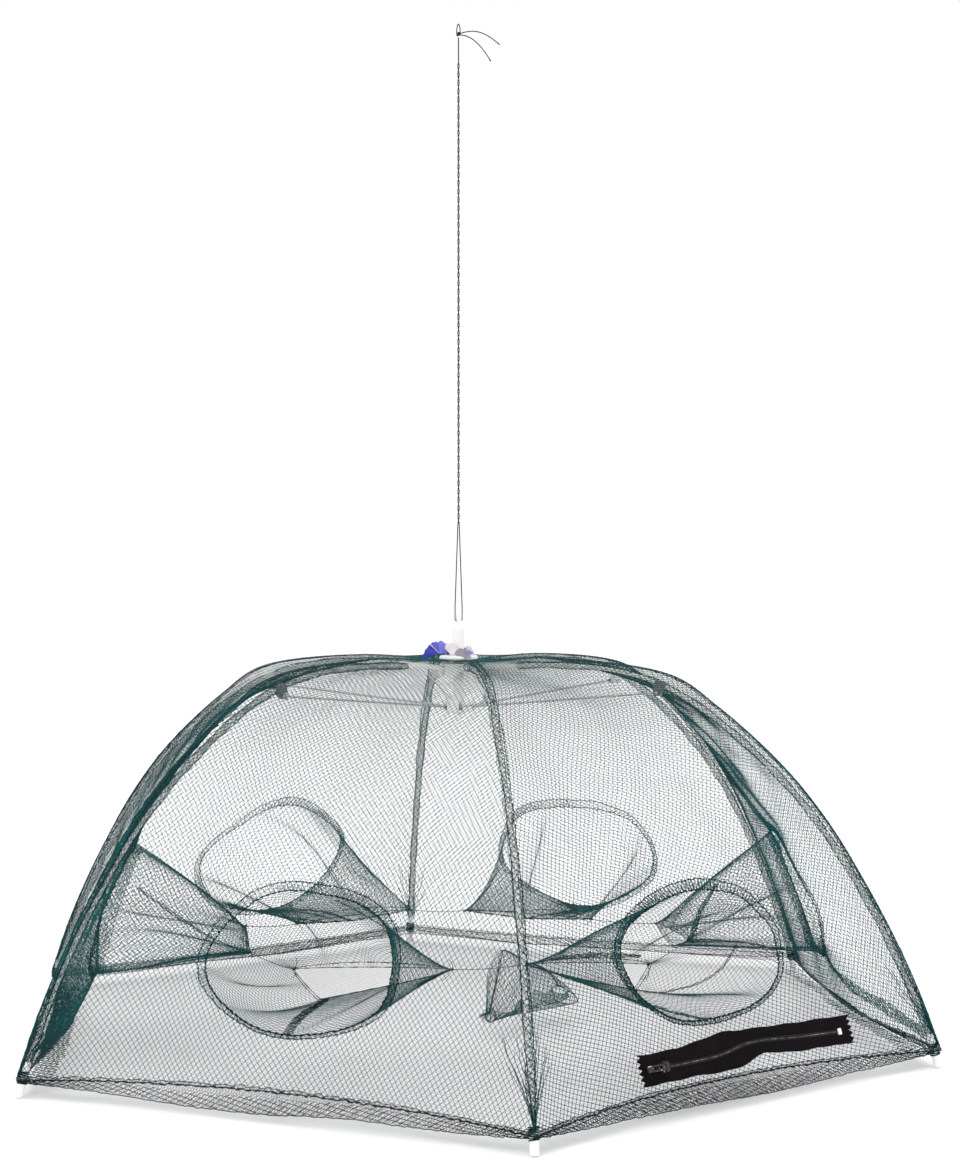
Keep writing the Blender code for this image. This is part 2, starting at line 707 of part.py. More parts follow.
def build_ribs(mats):
    """Ribs, feet, clips and stretchers, each made once and placed six times."""
    line = rod_path()
    line[0] = line[0] + (line[1] - line[0]).normalized() * 0.0018
    rib = add_object("rib_1", mesh_from("rib", *tube(line, ROD_R, 8)), mats["rod"])
    boolean(rib, [disc_across((0, 0, 0), ROD_EYE_R, ROD_EYE_WIDTH)], "UNION", "rib_eye")
    apply_booleans(rib)
    boolean(rib, [disc_across((0, 0, 0), ROD_EYE_HOLE, 0.01)], "DIFFERENCE", "rib_hole")
    apply_booleans(rib)

    hinge = Vector((HUB_HINGE_R, 0.0, HUB_HINGE_Z))
    tip = Vector((FOOT_TIP[0], 0.0, FOOT_TIP[1])) - hinge
    end = Vector((ROD_PATH[-1][0], 0.0, ROD_PATH[-1][1])) - hinge
    down = (tip - end).normalized()
    top = tip - down * FOOT_LENGTH
    foot = mesh_from("foot", *tube([top, top + down * 0.0008, tip + down * 0.004],
                                   [FOOT_R - 0.0006, FOOT_R, FOOT_R], 10))
    foot_tube = add_object("foot_tube_1", foot, mats["white"])
    floor_cut = box((tip.x - 0.02, -0.02, tip.z - 0.02), (tip.x + 0.02, 0.02, tip.z))
    socket = tube([top - down * 0.002, end + down * 0.0004], ROD_R + GAP, 10)
    boolean(foot_tube, [floor_cut, socket], "DIFFERENCE", "foot_cut")
    apply_booleans(foot_tube)

    low_ring, high_ring = (line[i] for i in CLIP_RINGS)
    at = (low_ring + high_ring) / 2
    along = (high_ring - low_ring).normalized()
    up = Vector((-along.z, 0.0, along.x))
    frame = Matrix((
        (along.x, 0.0, up.x, at.x), (0.0, 1.0, 0.0, 0.0), (along.z, 0.0, up.z, at.z), (0.0, 0.0, 0.0, 1.0),
    ))
    half = CLIP_LENGTH / 2
    wide = CLIP_WIDTH / 2
    outline = [
        (-half, -CLIP_ABOVE), (-half, CLIP_ABOVE), (half, CLIP_ABOVE), (half, -CLIP_ABOVE),
        (half * 0.45, -CLIP_BELOW + 0.001), (half * 0.3, -CLIP_BELOW),
        (-half * 0.3, -CLIP_BELOW), (-half * 0.45, -CLIP_BELOW + 0.001),
    ]
    count = len(outline)
    points = [frame @ Vector((x, y, z)) for y in (-wide, wide) for x, z in outline]
    faces = [tuple(range(count)), tuple(range(2 * count - 1, count - 1, -1))]
    faces += [(i, count + i, count + (i + 1) % count, (i + 1) % count) for i in range(count)]
    clip = add_object("rib_clip_1", mesh_from("clip", points, faces), mats["grey"])
    hole = tube([frame @ Vector((-0.02, 0, 0)), frame @ Vector((0.02, 0, 0))], ROD_R + GAP, 10)
    dent = frame @ Vector((0.0, -wide, -CLIP_PIVOT_DROP))
    boolean(clip, [hole, disc_across(dent, RIVET_R, 0.0016)], "DIFFERENCE", "clip_cut")
    apply_booleans(clip)
    pivot = frame @ Vector((0.0, 0.0, -CLIP_PIVOT_DROP)) + hinge

    root = Vector((RUNNER_HINGE_R, 0.0, RUNNER_Z))
    reach = Vector((pivot.x, WIRE_OFFSET, pivot.z)) - root
    flat = Vector((reach.x, 0.0, reach.z)).normalized()
    start = flat * 0.0016
    stop = reach - flat * 0.0024
    lift = Vector((0.0, -WIRE_OFFSET, 0.0))
    wire = [start, start + flat * 0.006, reach - flat * 0.020 + lift * 0.02, stop]
    stretcher = add_object("stretcher_1", mesh_from("stretcher", *tube(wire, WIRE_R, 8)), mats["steel"])
    discs = [
        disc_across((0, 0, 0), WIRE_EYE_R, WIRE_EYE_WIDTH),
        disc_across(reach, WIRE_END_R, WIRE_END_WIDTH),
    ]
    boolean(stretcher, discs, "UNION", "wire_eye")
    apply_booleans(stretcher)
    holes = [disc_across((0, 0, 0), WIRE_EYE_HOLE, 0.01), disc_across(reach, RIVET_R, 0.01)]
    boolean(stretcher, holes, "DIFFERENCE", "wire_hole")
    apply_booleans(stretcher)

    at_hub = (HUB_HINGE_R, HUB_HINGE_Z)
    at_runner = (RUNNER_HINGE_R, RUNNER_Z)
    for k in range(SIDES):
        for first, name, about in (
            (rib, "rib", at_hub), (foot_tube, "foot_tube", at_hub),
            (clip, "rib_clip", at_hub), (stretcher, "stretcher", at_runner),
        ):
            place = turn_to_rib(k, about)
            if k == 0:
                first.matrix_world = place
            else:
                add_object(f"{name}_{k + 1}", first.data, first.material_slots[0].material, place)


def build_net(mats):
    """Wall and floor sections over each rib, and the funnels between them."""
    wall = wall_mesh("net_wall")
    floor = floor_mesh("net_floor")
    hinge = Vector((HUB_HINGE_R, 0.0, HUB_HINGE_Z))
    wall.transform(Matrix.Translation(-hinge))
    foot = Vector((foot_center(FLOOR_Z), 0.0, FLOOR_Z))
    floor.transform(Matrix.Translation(-foot))
    for k in range(SIDES):
        add_object(f"net_wall_{k + 1}", wall, mats["net"], turn_to_rib(k, (hinge.x, hinge.z)))
        add_object(f"net_floor_{k + 1}", floor, mats["net"], turn_to_rib(k, (foot.x, foot.z)))
        funnel = funnel_mesh(f"net_funnel_{k + 1}", FUNNEL_TIP[k])
        to_panel = Matrix.Rotation(FIRST_RIB + (k + 0.5) * STEP, 4, "Z")
        to_rib = turn_to_rib(k, (hinge.x, hinge.z))
        funnel.transform(to_rib.inverted() @ to_panel)
        add_object(f"net_funnel_{k + 1}", funnel, mats["net"], to_rib)


def cord_line(side):
    """Points of one strand of the pull string, from the post's eye up to the knot."""
    points = [
        (side * 0.0008, 0.0, EYE_Z - 0.0012), (side * 0.0022, 0.0, EYE_Z - 0.0012),
        (side * 0.0033, 0.0, EYE_Z + 0.0004), (side * CORD_APART, 0.0, EYE_Z + 0.004),
    ]
    low = EYE_Z + 0.012
    steps = 9
    for i in range(steps):
        height = low + (CORD_TWIST_LOW - low) * i / steps
        share = i / steps
        apart = CORD_APART + (CORD_LAY - CORD_APART) * share
        points.append((side * apart, 0.0, height))
    steps = 28
    for i in range(steps + 1):
        height = CORD_TWIST_LOW + (CORD_TWIST_TOP - CORD_TWIST_LOW) * i / steps
        turn = 2 * math.pi * (height - CORD_TWIST_LOW) / CORD_PITCH
        points.append((side * CORD_LAY * math.cos(turn), side * CORD_LAY * math.sin(turn), height))
    last = Vector(points[-1])
    for share in (0.35, 0.7, 1.0):
        height = CORD_TWIST_TOP + (CORD_TOP - KNOT_R - GAP - CORD_TWIST_TOP) * share
        bulge = 1 + 0.6 * math.sin(math.pi * share)
        points.append((last.x * bulge, last.y * bulge, height))
    return points


def build_string(mats):
    """The doubled pull string and its knot with two tails."""
    for side, name in ((-1, "pull_cord_left"), (1, "pull_cord_right")):
        curve = bpy.data.curves.new(name, "CURVE")
        curve.dimensions = "3D"
        curve.bevel_depth = CORD_R
        curve.bevel_resolution = 2
        curve.use_fill_caps = True
        line = cord_line(side)
        spline = curve.splines.new("POLY")
        spline.points.add(len(line) - 1)
        for target, point in zip(spline.points, line):
            target.co = (*point, 1.0)
        obj = bpy.data.objects.new(name, curve)
        bpy.context.scene.collection.objects.link(obj)
        curve.materials.append(mats["string"])

    knot = []
    for i in range(7):
        angle = math.pi * i / 6
        knot.append((KNOT_R * 0.85 * math.sin(angle), CORD_TOP - KNOT_R * math.cos(angle)))
    knot[0] = (0.0, knot[0][1])
    knot[-1] = (0.0, knot[-1][1])
    ball = mesh_from("pull_cord_knot", *solid_turned(knot, 12))
    obj = add_object("pull_cord_knot", ball, mats["string"], smooth=True)
    tails = []
    for end, rise, back in TAILS:
        line = []
        for i in range(6):
            s = i / 5
            line.append((
                0.0008 + (end[0] - 0.0008) * s, back + (end[1] - back) * s,
                CORD_TOP + back + end[2] * s * s + rise * math.sin(math.pi * s),
            ))
        tails.append(tube(line, CORD_R, 6))
    loop = []
    for i in range(7):
        angle = math.pi * i / 6
        loop.append((0.0017 * math.cos(angle), 0.0002, CORD_TOP + 0.0005 + 0.0090 * math.sin(angle)))
    tails.append(tube(loop, CORD_R, 6))
    boolean(obj, tails, "UNION", "knot_tail")
    apply_booleans(obj)


def zip_frame():
    """Frame of the zip: x along the tape to the right, y up the wall, z out of the net."""
    panel = FIRST_RIB + STEP / 2
    out = Vector((math.cos(panel), math.sin(panel), 0.0))
    along = Vector((-math.sin(panel), math.cos(panel), 0.0))
    up = Vector((0.0, 0.0, 1.0))
    normal = (out * math.cos(ZIP_TILT) + up * math.sin(ZIP_TILT)).normalized()
    rise = normal.cross(along)
    at = out * ZIP_STAND_OFF + up * ZIP_Z + along * (ZIP_LEFT + ZIP_RIGHT) / 2
    return Matrix((
        (along.x, rise.x, normal.x, at.x), (along.y, rise.y, normal.y, at.y),
        (along.z, rise.z, normal.z, at.z), (0.0, 0.0, 0.0, 1.0),
    ))


def zip_bend(x):
    """The zip's slight wave along the wall, and its lift off the straight line."""
    half = (ZIP_RIGHT - ZIP_LEFT) / 2
    wave = ZIP_WAVE * math.sin(math.pi * x / half)
    dip = ZIP_DIP * (x / half) ** 2
    return wave, dip


def strip(x0, x1, y0, y1, z0, z1, steps, left_teeth=0, right_teeth=0):
    """A bent strip that follows the zip, with pinked ends where asked."""
    points = []
    faces = []
    columns = max(left_teeth, right_teeth, 1) * 2
    for i in range(steps + 1):
        x = x0 + (x1 - x0) * i / steps
        for j in range(columns + 1):
            y = y0 + (y1 - y0) * j / columns
            shift = 0.0
            if i == 0 and left_teeth:
                shift = ZIP_TOOTH * (j % 2)
            if i == steps and right_teeth:
                shift = -ZIP_TOOTH * (j % 2)
            wave, dip = zip_bend(x + shift)
            points.append((x + shift, y + wave, z0 + dip))
            points.append((x + shift, y + wave, z1 + dip))
    row = (columns + 1) * 2
    for i in range(steps):
        for j in range(columns):
            a = i * row + j * 2
            faces.append((a, a + 2, a + row + 2, a + row))
            faces.append((a + 1, a + row + 1, a + row + 3, a + 3))
        a = i * row
        faces.append((a, a + row, a + row + 1, a + 1))
        b = a + columns * 2
        faces.append((b, b + 1, b + row + 1, b + row))
    for i in (0, steps):
        for j in range(columns):
            a = i * row + j * 2
            faces.append((a, a + 1, a + 3, a + 2))
    return points, faces


def build_zip(mats):
    """Tape, coil, end stop, slider and pull tab."""
    place = zip_frame()
    half = (ZIP_RIGHT - ZIP_LEFT) / 2
    wide = ZIP_WIDTH / 2
    tape = strip(-half, half, -wide, wide, 0.0, ZIP_THICK, 8, ZIP_TEETH, ZIP_TEETH)
    add_object("zip_tape", mesh_from("zip_tape", *tape), mats["tape"], place)
    low = ZIP_THICK + GAP / 2
    coil_end = half - COIL_ENDS
    coil = strip(-coil_end, coil_end, -COIL_WIDTH / 2, COIL_WIDTH / 2, low, low + COIL_HEIGHT, 8)
    add_object("zip_coil", mesh_from("zip_coil", *coil), mats["tape"], place)

    stop_x = coil_end + 0.0008
    wave, dip = zip_bend(stop_x)
    low_corner = (stop_x, wave - STOP_WIDTH / 2, low + dip + GAP)
    high_corner = (stop_x + STOP_LENGTH, wave + STOP_WIDTH / 2, low + dip + STOP_HEIGHT)
    stop = add_object("zip_stop", mesh_from("zip_stop", *box(low_corner, high_corner)), mats["white"], place)
    round_corners(stop, 0.0004)

    slide_x = -coil_end + SLIDER_LENGTH / 2 + 0.0005
    wave = zip_bend(slide_x)[0]
    highest = zip_bend(coil_end)[1]
    base = ZIP_THICK + highest + GAP
    here = place @ Matrix.Translation((slide_x, wave, base))
    a, b = SLIDER_LENGTH / 2, SLIDER_WIDTH / 2
    outline = [
        (-a, -b * 0.55), (-a * 0.3, -b), (a * 0.6, -b), (a, -b * 0.75),
        (a, b * 0.75), (a * 0.6, b), (-a * 0.3, b), (-a, b * 0.55),
    ]
    count = len(outline)
    points = [(x, y, z) for z in (0.0, SLIDER_HEIGHT) for x, y in outline]
    faces = [tuple(range(count - 1, -1, -1)), tuple(range(count, 2 * count))]
    faces += [(i, (i + 1) % count, count + (i + 1) % count, count + i) for i in range(count)]
    slider = add_object("zip_slider", mesh_from("zip_slider", points, faces), mats["dark"], here)
    side = COIL_WIDTH / 2 + ZIP_WAVE + abs(wave) + GAP
    tunnel = box((-0.02, -side, -0.001), (0.02, side, COIL_HEIGHT + GAP / 2))
    boolean(slider, [tunnel], "DIFFERENCE", "slider_cut")
    apply_booleans(slider)
    inner = PULL_WIDTH / 2 + GAP
    ears = [
        box((-0.0014, way * inner - 0.0005 * (1 - way), SLIDER_HEIGHT - 0.001),
            (0.0014, way * inner + 0.0005 * (1 + way), SLIDER_HEIGHT + PIN_RISE + 0.0011))
        for way in (-1, 1)
    ]
    pin_z = SLIDER_HEIGHT + PIN_RISE
    pin = tube([(0.0, -inner - 0.0005, pin_z), (0.0, inner + 0.0005, pin_z)], 0.0005, 8, (1, 0, 0))
    boolean(slider, ears + [pin], "UNION", "slider_ear")
    apply_booleans(slider)

    hang = here @ Matrix.Translation((0.0, 0.0, pin_z))
    tab_end = -PULL_LENGTH + 0.002
    body = box((tab_end, -PULL_WIDTH / 2, -PULL_THICK / 2), (0.0, PULL_WIDTH / 2, PULL_THICK / 2))
    pull = add_object("zip_pull", mesh_from("zip_pull", *body), mats["dark"], hang)
    eye = disc_across((0.0, 0.0, 0.0), 0.0013, PULL_WIDTH, 16)
    boolean(pull, [eye], "UNION", "pull_eye")
    apply_booleans(pull)
    bore = disc_across((0.0, 0.0, 0.0), 0.0008, 0.02, 16)
    window = box((-0.013, -PULL_WIDTH / 2 + 0.0012, -0.01), (-0.0045, PULL_WIDTH / 2 - 0.0012, 0.01))
    boolean(pull, [bore, window], "DIFFERENCE", "pull_cut")
    apply_booleans(pull)


def build_bag(mats):
    """A small bag of net for bait, lying on the floor with its tied corner to the left."""
    left, right = Vector(BAG_LEFT), Vector(BAG_RIGHT)
    along = (right - left).normalized()
    across = Vector((-along.y, along.x))
    length = (right - left).length
    low = FLOOR_Z + NET_THICK / 2 + GAP
    points = []
    faces = []
    columns, around = 9, 12
    for i in range(columns + 1):
        s = i / columns
        opening = min(1.0, 0.12 + 2.4 * s)
        swell = opening * math.sqrt(max(0.0, 1 - ((s - 0.45) / 0.62) ** 4))
        tall = BAG_HEIGHT * max(0.14, swell)
        thick = BAG_HALF_THICK * max(0.16, swell * (1 - 0.35 * s))
        for j in range(around):
            angle = 2 * math.pi * (j + 0.5) / around
            side = thick * math.sin(angle)
            height = low + tall * (0.5 - 0.5 * math.cos(angle))
            flat = left + along * (length * s) + across * side
            points.append((flat.x, flat.y, height))
    for i in range(columns):
        for j in range(around):
            k = (j + 1) % around
            faces.append((i * around + j, i * around + k, (i + 1) * around + k, (i + 1) * around + j))
    faces.append(tuple(range(around)))
    faces.append(tuple(columns * around + j for j in range(around - 1, -1, -1)))
    add_object("bait_bag", mesh_from("bait_bag", points, faces), mats["net"], smooth=True)


def main():
    clear_scene()
    mats = {
        "white": material("white_plastic", (0.86, 0.86, 0.84), 0.35),
        "rod": material("white_rod", (0.82, 0.82, 0.79), 0.40),
        "grey": material("grey_plastic", (0.16, 0.17, 0.18), 0.45),
        "steel": material("steel_wire", (0.55, 0.55, 0.56), 0.30, 1.0),
        "net": material("net_twine", (0.045, 0.150, 0.140), 0.70),
        "cloth": material("woven_cloth", (0.13, 0.17, 0.62), 0.55),
        "string": material("dark_string", (0.030, 0.032, 0.034), 0.75),
        "tape": material("black_tape", (0.022, 0.016, 0.020), 0.80),
        "dark": material("black_metal", (0.060, 0.055, 0.060), 0.30, 0.8),
    }
    build_hub(mats)
    build_post(mats)
    build_ribs(mats)
    build_net(mats)
    build_string(mats)
    build_zip(mats)
    build_bag(mats)


main()
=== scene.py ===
"""Umbrella trap: the visible model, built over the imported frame.

Metres, +Z up, the origin on the ground under the hub. Rib 1 points to -Y, and the
others follow counter-clockwise, seen from above. Panel 1 lies between ribs 1 and 2.
"""

import math

import bmesh
import bpy
import numpy as np
from bpy.props import FloatProperty, FloatVectorProperty, IntProperty, PointerProperty
from mathutils import Matrix, Vector


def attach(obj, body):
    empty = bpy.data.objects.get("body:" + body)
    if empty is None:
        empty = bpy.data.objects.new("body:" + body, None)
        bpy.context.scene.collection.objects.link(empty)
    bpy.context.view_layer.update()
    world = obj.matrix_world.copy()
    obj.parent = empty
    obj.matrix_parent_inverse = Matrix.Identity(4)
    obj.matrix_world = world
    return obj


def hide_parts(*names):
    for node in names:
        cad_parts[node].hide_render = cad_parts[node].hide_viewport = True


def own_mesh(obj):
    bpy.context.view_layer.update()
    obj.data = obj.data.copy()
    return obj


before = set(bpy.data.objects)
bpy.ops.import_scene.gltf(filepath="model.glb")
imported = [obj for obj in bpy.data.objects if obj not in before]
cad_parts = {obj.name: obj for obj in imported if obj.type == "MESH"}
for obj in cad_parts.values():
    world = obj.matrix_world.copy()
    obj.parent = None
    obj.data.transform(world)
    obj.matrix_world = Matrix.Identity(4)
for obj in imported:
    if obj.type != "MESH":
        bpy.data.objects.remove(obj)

bl_info = {
    "name": "Umbrella trap",
    "version": (1, 0, 0),
    "blender": (4, 5, 0),
    "location": "3D View > Sidebar > Trap",
    "description": "Builds the visible model of a folding umbrella trap over its packed frame",
    "category": "Object",
}

SIDES = 6
STEP = math.pi / 3
FIRST_RIB = -math.pi / 2
HALF_SIN = math.sin(STEP / 2)
HALF_COS = math.cos(STEP / 2)
RUNNER_HINGE = (0.012, 0.2980)

# The rib rods, and the net's lines over a rib and half-way to the next, as radius and height
ROD_LINE = (
    (0.0140, 0.3335), (0.0500, 0.3368), (0.1000, 0.3385), (0.1500, 0.3352), (0.1970, 0.3230),
    (0.2455, 0.2956), (0.3028, 0.2478), (0.3449, 0.2003), (0.3802, 0.1475), (0.4048, 0.1030),
    (0.4252, 0.0605), (0.4390, 0.0283),
)
NET_RIB = (
    (0.0135, 0.3406), (0.1000, 0.3450), (0.2000, 0.3340), (0.2515, 0.3040), (0.3095, 0.2545),
    (0.3515, 0.2050), (0.3860, 0.1505), (0.4110, 0.1050), (0.4310, 0.0620), (0.4490, 0.0150),
)
NET_MID = (
    (0.0117, 0.3406), (0.0850, 0.3420), (0.1650, 0.3210), (0.2150, 0.2940), (0.2620, 0.2450),
    (0.2900, 0.1940), (0.3130, 0.1460), (0.3300, 0.1030), (0.3450, 0.0630), (0.3600, 0.0155),
)
ROD_R = 0.00175

# Foot tubes: the tip's place, the length, and the outline from mouth to tip as radius and height
FOOT_TIP = (0.4470, 0.0)
FOOT_LENGTH = 0.0300
FOOT_PROFILE = (
    (0.00185, 0.0015), (0.0024, 0.0), (0.0029, 0.0), (0.0034, 0.0005), (0.0035, 0.0012), (0.0035, 0.0060),
    (0.00365, 0.0063), (0.00365, 0.0072), (0.0035, 0.0075), (0.0035, 0.0285), (0.0032, 0.0296),
    (0.0024, 0.0300), (0.0, 0.0300),
)

# Clips: length, half thickness, the rivet's drop below the rod, and the ribs whose clip is dark
CLIP_LENGTH = 0.0100
CLIP_SIDE = 0.0036
PIVOT_DROP = 0.0080
DARK_CLIPS = (1, 5)

# Stretcher wire: radius, and its place beside the clip
WIRE_R = 0.0010
WIRE_Y = 0.0041 + 0.0004 + WIRE_R

# Eyes on the hinge rings: outer radius, inner radius, width
ROD_EYE = (0.0026, 0.0012, 0.0034)
WIRE_EYE = (0.0022, 0.0011, 0.0024)

# Panels and ribs towards the camera, whose threads are bolder, and the ribs whose seam is left plain
FRONT_PANELS = (0, 5)
FRONT_RIBS = (0, 1, 5)
PLAIN_SEAMS = (0, 3)

# Entrances: middle and half height as places along the net's lines, half width, mean radius of the rim and of
# the cut, the mouth's radius and height, and the middle of each funnel's slit as radius and height
HOLE_MID = (5.37 + 8.02) / 2
HOLE_HALF = (8.02 - 5.37) / 2
HOLE_WIDE = 0.087
RIM_MEAN = 0.072
CUT_MEAN = 0.07
MOUTH_R = 0.345
MOUTH_Z = 0.119
TIPS = ((0.186, 0.0842), (0.203, 0.0825), (0.178, 0.0750), (0.172, 0.0780), (0.196, 0.0850), (0.178, 0.0830))

# Floor: height, reach at a panel's middle and at a foot, the hem's bow inwards, and the lip's width and droop
FLOOR_Z = 0.0120
FLOOR_MID = 0.3790
FLOOR_FOOT = 0.4437
FLOOR_CORNER = np.array([FLOOR_MID * HALF_COS, FLOOR_MID * HALF_SIN])
FLOOR_TIP = np.array([FLOOR_FOOT, 0.0])
HEM_BOW = 0.006
LIP_WIDE = 0.024
LIP_DROOP = 0.0050

# Zip: ends along the wall, stand-off, height and tilt, the tape's half width, the coil and the stitches
ZIP_LEFT = -0.104
ZIP_RIGHT = 0.136
ZIP_STAND_OFF = 0.3644
ZIP_Z = 0.0400
ZIP_TILT = math.radians(20)
ZIP_HALF = (ZIP_RIGHT - ZIP_LEFT) / 2
TAPE_SIDE = 0.0125
COIL_END = ZIP_HALF - 0.0180
COIL_PITCH = 0.00125
STITCH_LENGTH = 0.0030
STITCH_EVERY = 0.0042

# Pull string, from the post's eye to its knot: heights, spread, lay, and the sizes of knot and yarn
EYE_Z = 0.3790
TWIST_LOW = 0.468
TWIST_TOP = 0.898
CORD_TOP = 0.9235
CORD_APART = 0.0033
CORD_LAY = 0.00063
CORD_PITCH = 0.0155
KNOT_R = 0.0028
WRAP_R = 0.0014
YARN_R = 0.0006
YARN_PITCH = 0.0042

# Camera: the photograph's focal length and height in pixels, the sensor, and the aim to the right and up
FOCAL_PX = 2150.0
PHOTO_PX = 1174.0
SENSOR = 36.0
AIM_RIGHT = 0.0200
AIM_UP = 0.4095

# Lamps, as name, place, size and power, with what they aim at, and the floor's half width and height
LAMPS = (
    ("key", (-1.6, -2.2, 2.6), 1.8, 26.0), ("fill", (2.4, -1.6, 1.9), 2.0, 12.0), ("back", (0.3, 2.6, 2.4), 2.2, 14.0),
)
LAMP_AIM = Vector((0.0, 0.0, 0.25))
STAGE_HALF = 14
STAGE_Z = -0.0002

# Places of the net's materials on a piece
TWINE, SEAM, GATHER = 0, 1, 2


class TrapSettings(bpy.types.PropertyGroup):
    """Sizes and levels that the operators read."""

    mesh_width: FloatProperty(
        name="Mesh width", description="Width of one net diamond", default=0.0050, unit="LENGTH"
    )
    mesh_height: FloatProperty(
        name="Mesh height", description="Height of one net diamond", default=0.0061, unit="LENGTH"
    )
    strand_radius: FloatProperty(
        name="Strand radius", description="Radius of one strand of the net", default=0.00020, unit="LENGTH"
    )
    seam_radius: FloatProperty(
        name="Seam radius", description="Radius of the sewing thread in the seams", default=0.00042, unit="LENGTH"
    )
    funnel_cells: IntProperty(
        name="Funnel cells", description="Diamonds around one entrance funnel", default=84, min=12
    )
    twine_colour: FloatVectorProperty(
        name="Twine colour", description="Colour of the net's twine", subtype="COLOR",
        size=3, default=(0.0065, 0.062, 0.067),
    )
    view_distance: FloatProperty(
        name="View distance", description="From the camera to its aim", default=2.007, unit="LENGTH"
    )
    view_yaw: FloatProperty(
        name="View yaw", description="How far the camera is turned round the trap",
        default=math.radians(-7.71), unit="ROTATION",
    )
    view_pitch: FloatProperty(
        name="View pitch", description="How far the camera looks down", default=math.radians(0.857), unit="ROTATION"
    )
    light_level: FloatProperty(
        name="Light level", description="Strength of the studio's even light", default=1.12, min=0.0
    )


def unit(rows):
    """Each row as a unit vector."""
    return rows / np.maximum(np.linalg.norm(rows, axis=-1, keepdims=True), 1e-12)


def on_line(knots, place):
    """Points of a smooth line through its knots, at fractional places along it."""
    line = np.array(knots, float)
    full = np.vstack([2 * line[0] - line[1], line, 2 * line[-1] - line[-2]])
    place = np.atleast_1d(np.asarray(place, float))
    i = np.clip(place.astype(int), 0, len(line) - 2)
    t = (place - i)[:, None]
    a, b, c, d = full[i], full[i + 1], full[i + 2], full[i + 3]
    return 0.5 * (2 * b + (c - a) * t + (2 * a - 5 * b + 4 * c - d) * t**2 + (3 * b - a - 3 * c + d) * t**3)


PLACES = np.linspace(0.0, len(NET_RIB) - 1.0, 721)
_steps = np.diff(on_line(NET_RIB, PLACES), axis=0), np.diff(on_line(NET_MID, PLACES), axis=0)
ARC = np.concatenate([[0.0], np.cumsum(sum(np.linalg.norm(s, axis=1) for s in _steps) / 2)])
WALL_LENGTH = float(ARC[-1])


def waves(seed, low=0.06, high=0.20, count=6):
    """A smooth, seeded field over a flat position, mostly from -1 to 1."""
    rng = np.random.default_rng(seed)
    length = rng.uniform(low, high, count)
    angle = rng.uniform(0.0, 2 * math.pi, count)
    phase = rng.uniform(0.0, 2 * math.pi, count)

    def field(x, y):
        total = 0.0
        for l, a, p in zip(length, angle, phase):
            total = total + np.sin(2 * math.pi * (x * math.cos(a) + y * math.sin(a)) / l + p)
        return total / count**0.5

    return field


def turned(points, angle):
    """Points turned about the vertical axis."""
    c, s = math.cos(angle), math.sin(angle)
    x, y, z = points[..., 0], points[..., 1], points[..., 2]
    return np.stack([c * x - s * y, s * x + c * y, z], axis=-1)


def rib_angle(rib):
    """Azimuth of a rib, numbered from 0."""
    return FIRST_RIB + rib * STEP


def panel_angle(panel):
    """Azimuth of the middle of a panel, numbered from 0."""
    return FIRST_RIB + (panel + 0.5) * STEP


def panels_of(rib):
    """The two panels that meet over a rib, each with the side of it on which the rib lies."""
    return (rib, -1), ((rib - 1) % SIDES, 1)


def shaken(line, rng, spread):
    """A line whose points are each moved a little by chance."""
    return line + rng.normal(0, spread, line.shape)


def zigzag(count, phase):
    """Alternating 0 and 1, starting with the phase."""
    return (np.arange(count) + phase) % 2


def from_rib(points, rib):
    """From a rib's frame to the row frame."""
    return turned(points, rib_angle(rib))


def lattice_steps(wide, tall, turn, lean=0.0):
    """The steps along a net's two families of strands: diamonds of this size, turned and leaning."""
    half = np.array([wide, tall]) / 2
    c, s = math.cos(turn), math.sin(turn)
    spin = np.array([[c, s], [-s, c]])
    return (half * [1 + lean, 1]) @ spin, (half * [-1 + lean, 1]) @ spin


def tube_net(around, rows):
    """A net round a tube: each node's angle, its share along the tube, and the links of both families."""
    i, j = np.meshgrid(np.arange(around), np.arange(rows + 1), indexing="ij")
    keep = (i + j) % 2 == 0
    index = np.full(i.shape, -1)
    index[keep] = np.arange(keep.sum())
    families = []
    for way in (1, -1):
        start, end = index[:, :-1], np.roll(index, -way, axis=0)[:, 1:]
        fit = (start >= 0) & (end >= 0)
        families.append(np.stack([start[fit], end[fit]], axis=1))
    return i[keep] / around * 2 * math.pi, j[keep] / rows, families


def linked(name, data):
    """A new object, placed in the scene."""
    obj = bpy.data.objects.new(name, data)
    bpy.context.scene.collection.objects.link(obj)
    return obj


def thicken(obj, thickness, offset):
    """Give a sheet of cloth its thickness."""
    step = obj.modifiers.new("cloth", "SOLIDIFY")
    step.thickness = thickness
    step.offset = offset


